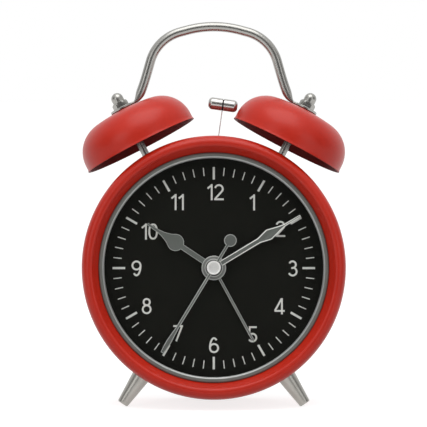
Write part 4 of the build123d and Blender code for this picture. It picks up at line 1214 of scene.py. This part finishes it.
# ---- bells, posts and handle
@dataclass
class Bells:
    """Drawn gongs with their posts and acorn nuts."""

    radius: float = 26.85
    flare: float = 0.3
    height: float = 18.3
    wall: float = 0.8
    crown: float = 90.0
    shoulder: float = 14.2
    hole: float = 1.58
    eye_thickness: float = 1.2
    post_radius: float = 1.75
    thread_radius: float = 1.5
    drum_level: float = -6.65
    stud_depth: float = 4.2
    stud_rise: float = 3.9
    nut_flats: float = 6.4
    nut_height: float = 7.0
    nut_dome: float = 2.75

    def nut_base(self) -> float:
        """Height of the nut's seat on the handle's eye."""
        return self.height + self.eye_thickness

    def skin(self, radius: float, inset: float) -> list[Point2]:
        """Points from the crown's hole down the skin to the straight flank.

        Args:
            radius: Radius of the flank.
            inset: Depth of this skin below the outer one.

        Returns:
            (radius, height) points.
        """
        height, crown, shoulder = self.height - inset, self.crown - inset, self.shoulder - inset
        turn = math.asin((radius - shoulder) / (crown - shoulder))
        cx = (crown - shoulder) * math.sin(turn)
        cz = height - crown + (crown - shoulder) * math.cos(turn)
        first = math.asin(self.hole / crown)
        points = []
        for i in range(9):
            a = first + (turn - first) * i / 8
            points.append((crown * math.sin(a), height - crown + crown * math.cos(a)))
        for i in range(1, 25):
            a = turn + (math.pi / 2 - turn) * i / 24
            points.append((cx + shoulder * math.sin(a), cz + shoulder * math.cos(a)))
        return points

    def gong_section(self) -> list[Point2]:
        """Closed section of the gong: outer skin, rolled rim, inner skin.

        Returns:
            (radius, height) points.
        """
        straight, lip = self.radius - self.flare, self.radius
        inside = straight - self.wall
        rim = [(straight, 1.3), (straight + 0.08, 0.7), (lip - 0.02, 0.22), (lip, 0.1)]
        rim += [(lip - 0.12, 0.0), (inside + 0.1, 0.0), (inside, 0.15)]
        return self.skin(straight, 0.0) + rim + self.skin(inside, self.wall)[::-1]

    def post_section(self) -> list[Point2]:
        """Post with a shoulder on the drum, another under the gong, and its threaded stud.

        Returns:
            (radius, height) points.
        """
        post, thread, foot = self.post_radius, self.thread_radius, self.drum_level
        seat, top = self.height - self.wall - 0.05, self.nut_base() + self.stud_rise
        low = foot - self.stud_depth
        section = [(0.0, low), (thread, low), (thread, foot + 0.1), (post, foot + 0.1)]
        return section + [(post, seat), (thread, seat), (thread, top), (0.0, top)]

    def nut_section(self) -> list[Point2]:
        """Chamfered hexagon, short neck and dome.

        Returns:
            (radius, height) points.
        """
        base, dome = self.nut_base(), self.nut_dome
        rises = [(0.0, 0), (3.50, 0), (3.72, 0.2), (3.72, 1.85), (3.30, 2.5), (3.0, 2.6)]
        rises += [(dome + 0.02, 2.62), (dome, 2.8)]
        section = [(r, base + rise) for r, rise in rises]
        return section + arc(0.0, base + self.nut_height - dome, dome, 0, 90, 12)

    def build(self) -> None:
        """Build and dress both gongs, posts and nuts."""
        up, flats = Turning.POST, self.nut_flats
        for side, name in ((-1, "left"), (1, "right")):
            here = SPACE.bell(side)
            # from the rim's lower edge inward the gong takes the painted shade
            gong = Piece(f"{name}_gong").lathe(self.gong_section(), 192, up, [0] * 36 + [1] * 37)
            gong.finish([RED, RED_SHADE], "case", Slot.RED_PAINT, f"{name}_bell", 40, here)
            post = Piece(f"{name}_post_turned").lathe(self.post_section(), 48, up)
            post.finish([NICKEL], "case", Slot.NICKEL, f"{name}_bell_post", 40, here)
            nut = Piece(f"{name}_acorn_nut").lathe(self.nut_section(), 72, up, flats=flats)
            nut.finish([NICKEL], "case", Slot.NICKEL, f"{name}_cap_nut", 25, here)


@dataclass
class Handle:
    """Bent rod that runs over the gongs, with its ends flattened into eyes."""

    bells: Bells
    rod: float = 2.15
    top: float = 109.8
    corner_x: float = 25.75
    corner_z: float = 104.5
    crown_half: float = 6.2
    foot_x: float = 32.81
    foot_z: float = 79.6
    corner_curve: float = 19.0
    crown_curve: float = 46.0
    arc_steps: int = 20
    eye_radius: float = 5.6
    eye_ease: float = 0.3
    eye_reach: float = 2.6
    neck_reach: float = 6.2
    neck_half: float = 2.5
    neck_steps: int = 5
    bend_rise: float = 9.0
    bend_steps: int = 14
    plane: float = SPACE.BELL_DEPTH

    def spot(self, x: float, z: float) -> Vector:
        """Place in the plane of the handle."""
        return Vector((x, self.plane, z))

    def half_path(self) -> tuple[list[Vector], list[list[Point2]]]:
        """Right half, from inside the eye up to the middle of the crown.

        Returns:
            The points, and the section at each of them.
        """
        tilt = math.radians(SPACE.BELL_TILT)
        up = Vector((math.sin(tilt), 0, math.cos(tilt)))
        inward = Vector((-math.cos(tilt), 0, math.sin(tilt)))
        thick, wide, rod = self.bells.eye_thickness / 2, self.neck_half, self.rod
        eye = self.spot(SPACE.BELL_ACROSS, SPACE.BELL_UP) + up * (self.bells.height + thick)
        path, sections = [], []
        for i in range(self.neck_steps):
            reach = self.eye_reach + (self.neck_reach - self.eye_reach) * i / self.neck_steps
            width = self.eye_radius - (self.eye_radius - wide) * reach / self.neck_reach
            path.append(eye + inward * reach)
            sections.append(soft_oval(thick - 0.02, width, 6.0))
        flat = eye + inward * self.neck_reach
        foot = self.spot(self.foot_x, self.foot_z)
        corner = self.spot(self.corner_x, self.corner_z)
        leg = (corner - foot).normalized()
        gap = foot - flat
        reach = (gap.x * leg.z - gap.z * leg.x) / (inward.x * leg.z - inward.z * leg.x)
        bend = flat + inward * reach
        foot = foot + leg * self.bend_rise
        for i in range(self.bend_steps + 1):
            t = i / self.bend_steps
            path.append(flat * (1 - t) ** 2 + bend * (2 * t * (1 - t)) + foot * t**2)
            t = min(1.0, 1.6 * t)
            ease = t * t * (3 - 2 * t)
            across, side = thick + (rod - thick) * ease, wide + (rod - wide) * ease
            sections.append(soft_oval(across, side, 5.0 - 3.0 * ease))
        crown = [self.spot(x, self.top) for x in (self.crown_half, -self.crown_half)]
        curves = [self.corner_curve, self.crown_curve]
        run = rounded_path([foot, corner, *crown], curves, self.arc_steps)[1:-1]
        return path + run, sections + [soft_oval(rod, rod, 2.0)] * len(run)

    def build(self) -> None:
        """Build and dress the handle."""
        path, sections = self.half_path()
        other = [Vector((-p.x, p.y, p.z)) for p in reversed(path)]
        piece = Piece("handle_bent")
        piece.sweep(path + other, sections + sections[::-1], Vector((0, 1, 0)))
        low, hole, r, ease = self.bells.height, self.bells.hole, self.eye_radius, self.eye_ease
        high = low + self.bells.eye_thickness
        washer = [(hole, low), (r - ease, low), (r, low + ease)]
        washer += [(r, high - ease), (r - ease, high), (hole, high)]
        for side in (-1, 1):
            piece.local = SPACE.matrix.inverted() @ SPACE.bell(side)
            piece.lathe(washer, 72, Turning.POST)
        piece.finish([NICKEL], "case", Slot.NICKEL, "handle")


@dataclass
class Hammer:
    """Double-ended striker on its wire."""

    reach: float = 29.79
    half: float = 6.65
    radius: float = 2.75
    end_round: float = 1.9
    groove_half: float = 0.22
    groove_flank: float = 0.15
    groove: float = 0.4
    wire: float = 0.25
    wire_foot: float = 3.2

    def section(self) -> list[Point2]:
        """Barrel with rounded ends and a narrow waist.

        Returns:
            (radius, position along the barrel) points.
        """
        r, end, waist = self.radius, self.end_round, self.radius - self.groove
        low, wide = self.groove_half, self.groove_half + self.groove_flank
        section = [(0.0, -self.half)] + arc(r - end, end - self.half, end, -90, 0, 12)
        section += [(r, -wide), (waist, -low), (waist, low), (r, wide)]
        return section + arc(r - end, self.half - end, end, 0, 90, 12) + [(0.0, self.half)]

    def build(self) -> None:
        """Build and dress the hammer's head and wire."""
        here = SPACE.hammer()
        head = Piece("hammer_head_turned")
        lift = Matrix.Translation((0, 0, self.reach * MM))
        head.local = lift @ Matrix.Rotation(math.radians(90), 4, "Y")
        # the waist's three bands take the painted shade of the groove
        head.lathe(self.section(), 96, Turning.POST, [0] * 14 + [1] * 3)
        head.finish([CHROME, GROOVE_SHADE], "hammer", Slot.CHROME, "hammer_head", 40, here)
        low, high = self.wire_foot, self.reach - self.radius + 1.0
        rod = [(0, low), (self.wire, low), (self.wire, high), (0, high)]
        wire = Piece("hammer_wire_drawn").lathe(rod, 32, Turning.POST)
        wire.finish([WIRE], "hammer", Slot.STEEL, "hammer_wire", 40, here)


@dataclass
class Feet:
    """Two tapered pegs, ground level where they stand."""

    root: float = 4.2
    tip: float = 2.5
    length: float = 15.2
    sink: float = 0.4

    def section(self) -> list[Point2]:
        """Tapered peg with an eased tip.

        Returns:
            (radius, height) points.
        """
        slope, tip, end = (self.root - self.tip) / self.length, self.tip, self.length
        section = [(0.0, -self.sink), (self.root + self.sink * slope, -self.sink)]
        section += [(self.root - slope * h, h) for h in (0.0, 4.0, 8.0, 12.0, 14.0)]
        section += [(tip + 0.04, end - 0.35), (tip - 0.1, end - 0.1), (tip - 0.3, end)]
        return section + [(tip * k, end) for k in (0.75, 0.6, 0.4, 0.2, 0.0)]

    def build(self) -> None:
        """Build and dress the feet."""
        for side, name in ((-1, "left"), (1, "right")):
            here = SPACE.foot(side)
            back = here.inverted()
            piece = Piece(f"{name}_foot_turned").lathe(self.section(), 96, Turning.POST)
            for vertex in piece.mesh.verts:
                place = here @ vertex.co
                if place.z < 0:
                    vertex.co = back @ Vector((place.x, place.y, 0))
            piece.finish([NICKEL_FOOT], "case", Slot.NICKEL, f"{name}_foot", matrix=here)


# ---- carried-over nodes
class CarriedNodes:
    """CAD nodes that keep their shape and get a finish."""

    SPECIAL: dict[str, Finish] = {
        "left_foot": NICKEL_FOOT,
        "right_foot": NICKEL_FOOT,
        "hand_cap": CAP,
        "trim_ring": TRIM,
        "dial_frame": FRAME_BLACK,
    }

    def dress(self) -> None:
        """Give every CAD node its finish."""
        plain = {slot.label: slot.plain for slot in Slot}
        slots = {part["node"]: part["material_slot"] for part in frame["record"]["subparts"]}
        for name, node in frame["nodes"].items():
            finish = self.SPECIAL.get(name) or plain[slots[name]]
            node.data.materials.clear()
            node.data.materials.append(finish.make())
            log.info("dressed %s as %s", name, finish.name)


# ---- studio
@dataclass
class Studio:
    """White sweep, soft overhead light and the camera."""

    distance: float = 1.6
    mm_per_pixel: float = 0.4463
    picture: int = 427
    sensor: float = 36.0
    clip: Point2 = (0.05, 50.0)
    case_centre_px: Point2 = (213.8, 267.5)
    shoulder_depth: float = 4.5
    pitch_from_lean: float = 2.56
    fill: float = 0.55
    room: float = 0.08
    floor_half: float = 3.0
    floor_drop: float = 0.0002
    floor_colour: Colour = (0.45, 0.45, 0.45)
    floor_glow: float = 0.80
    aim: Point3 = (0, 0, 0.08)

    def camera(self) -> None:
        """Camera that looks slightly down, nearly square to the leaning dial."""
        focal_px = self.distance / (self.mm_per_pixel * MM)
        data = bpy.data.cameras.new("camera")
        data.sensor_width = self.sensor
        data.lens = self.sensor * focal_px / self.picture
        data.clip_start, data.clip_end = self.clip
        camera = placed("camera", data)
        case_centre = SPACE.matrix @ Vector((0, self.shoulder_depth * MM, 0))
        pitch = math.radians(SPACE.lean - self.pitch_from_lean)
        ahead = Vector((0, math.cos(pitch), -math.sin(pitch)))
        up = Vector((0, math.sin(pitch), math.cos(pitch)))
        across_px, down_px = (place - self.picture / 2 for place in self.case_centre_px)
        ray = ahead + Vector((across_px / focal_px, 0, 0)) - up * (down_px / focal_px)
        camera.location = case_centre - ray * self.distance
        camera.rotation_euler = (math.radians(90) - pitch, 0, 0)
        bpy.context.scene.camera = camera

    def lamp(self, name: str, place: Point3, size: float, power: float) -> None:
        """Square area lamp that shines at the clock.

        Args:
            name: Name of the lamp.
            place: Where it hangs, in metres.
            size: Width of its face, in metres.
            power: Power in watts.
        """
        data = bpy.data.lights.new(name, "AREA")
        data.size, data.energy = size, power
        lamp = placed(name, data)
        lamp.location = place
        lamp.rotation_mode = "QUATERNION"
        lamp.rotation_quaternion = (Vector(self.aim) - Vector(place)).to_track_quat("-Z", "Y")

    def world(self) -> None:
        """Even soft light, a white backdrop, and a dim room in front for the metal to mirror."""
        world = bpy.data.worlds.new("surround")
        bpy.context.scene.world = world
        tree = ShaderTree(world, "ShaderNodeOutputWorld")
        towards = tree.place("Generated")
        ahead, above = tree.axis(towards, "Y") * -1.0, tree.axis(towards, "Z")
        dim = ahead.above(-0.05, 0.9) * (1.0 - above.above(0.5, 0.4))
        strengths = (self.fill, 1.0 - dim * (1.0 - self.room), 1.0)
        plain, mirrored_room, white = (
            tree.node("ShaderNodeBackground", {}, {"Color": WHITE_LIGHT, "Strength": strength})
            for strength in strengths
        )
        path = tree.node("ShaderNodeLightPath", {}, {})
        inner = tree.mix(path.output("Is Glossy Ray"), plain, mirrored_room)
        outer = tree.mix(path.output("Is Camera Ray"), inner, white)
        seen = tree.mix(path.output("Is Transmission Ray"), outer, white)
        tree.feed(tree.end, "Surface", seen)

    def floor(self) -> None:
        """Floor that reads white and keeps the clock's shadow."""
        mesh, half = bmesh.new(), self.floor_half
        for x, y in ((-half, -half), (half, -half), (half, half), (-half, half)):
            mesh.verts.new((x, y, -self.floor_drop))
        mesh.faces.new(mesh.verts)
        data = bpy.data.meshes.new("floor")
        mesh.to_mesh(data)
        mesh.free()
        floor = placed("floor", data)
        tree = MaterialTree("white_sweep")
        tree.give("Base Color", self.floor_colour)
        tree.give("Roughness", 0.9)
        tree.give("Specular IOR Level", 0.0)
        path = tree.node("ShaderNodeLightPath", {}, {})
        seen = path.output("Is Camera Ray") + path.output("Is Glossy Ray")
        glow = (seen + path.output("Is Transmission Ray")) * self.floor_glow
        white = tree.node("ShaderNodeEmission", {}, {"Color": WHITE_LIGHT, "Strength": glow})
        matt = Wire(tree, tree.shader.outputs[0])
        tree.feed(tree.end, "Surface", tree.node("ShaderNodeAddShader", {}, {0: matt, 1: white}))
        data.materials.append(tree.material)

    def build(self) -> None:
        """Set up the studio."""
        self.camera()
        self.world()
        self.floor()
        self.lamp("overhead_softbox", (0.0, -0.35, 1.25), 1.1, 9.0)
        self.lamp("front_left_fill", (-1.1, -1.3, 0.6), 0.9, 4.0)
        self.lamp("front_right_fill", (1.1, -1.3, 0.5), 0.9, 3.0)
        bpy.context.scene.view_settings.view_transform = "Standard"


def main() -> None:
    """Build the clock's pieces in order."""
    logging.basicConfig(level=logging.INFO, format="%(name)s: %(message)s")
    bells = Bells()
    CarriedNodes().dress()
    for assembly in (Case(), Dial(), Hands(), bells, Handle(bells), Hammer(), Feet(), Studio()):
        assembly.build()


if __name__ == "__main__":
    main()
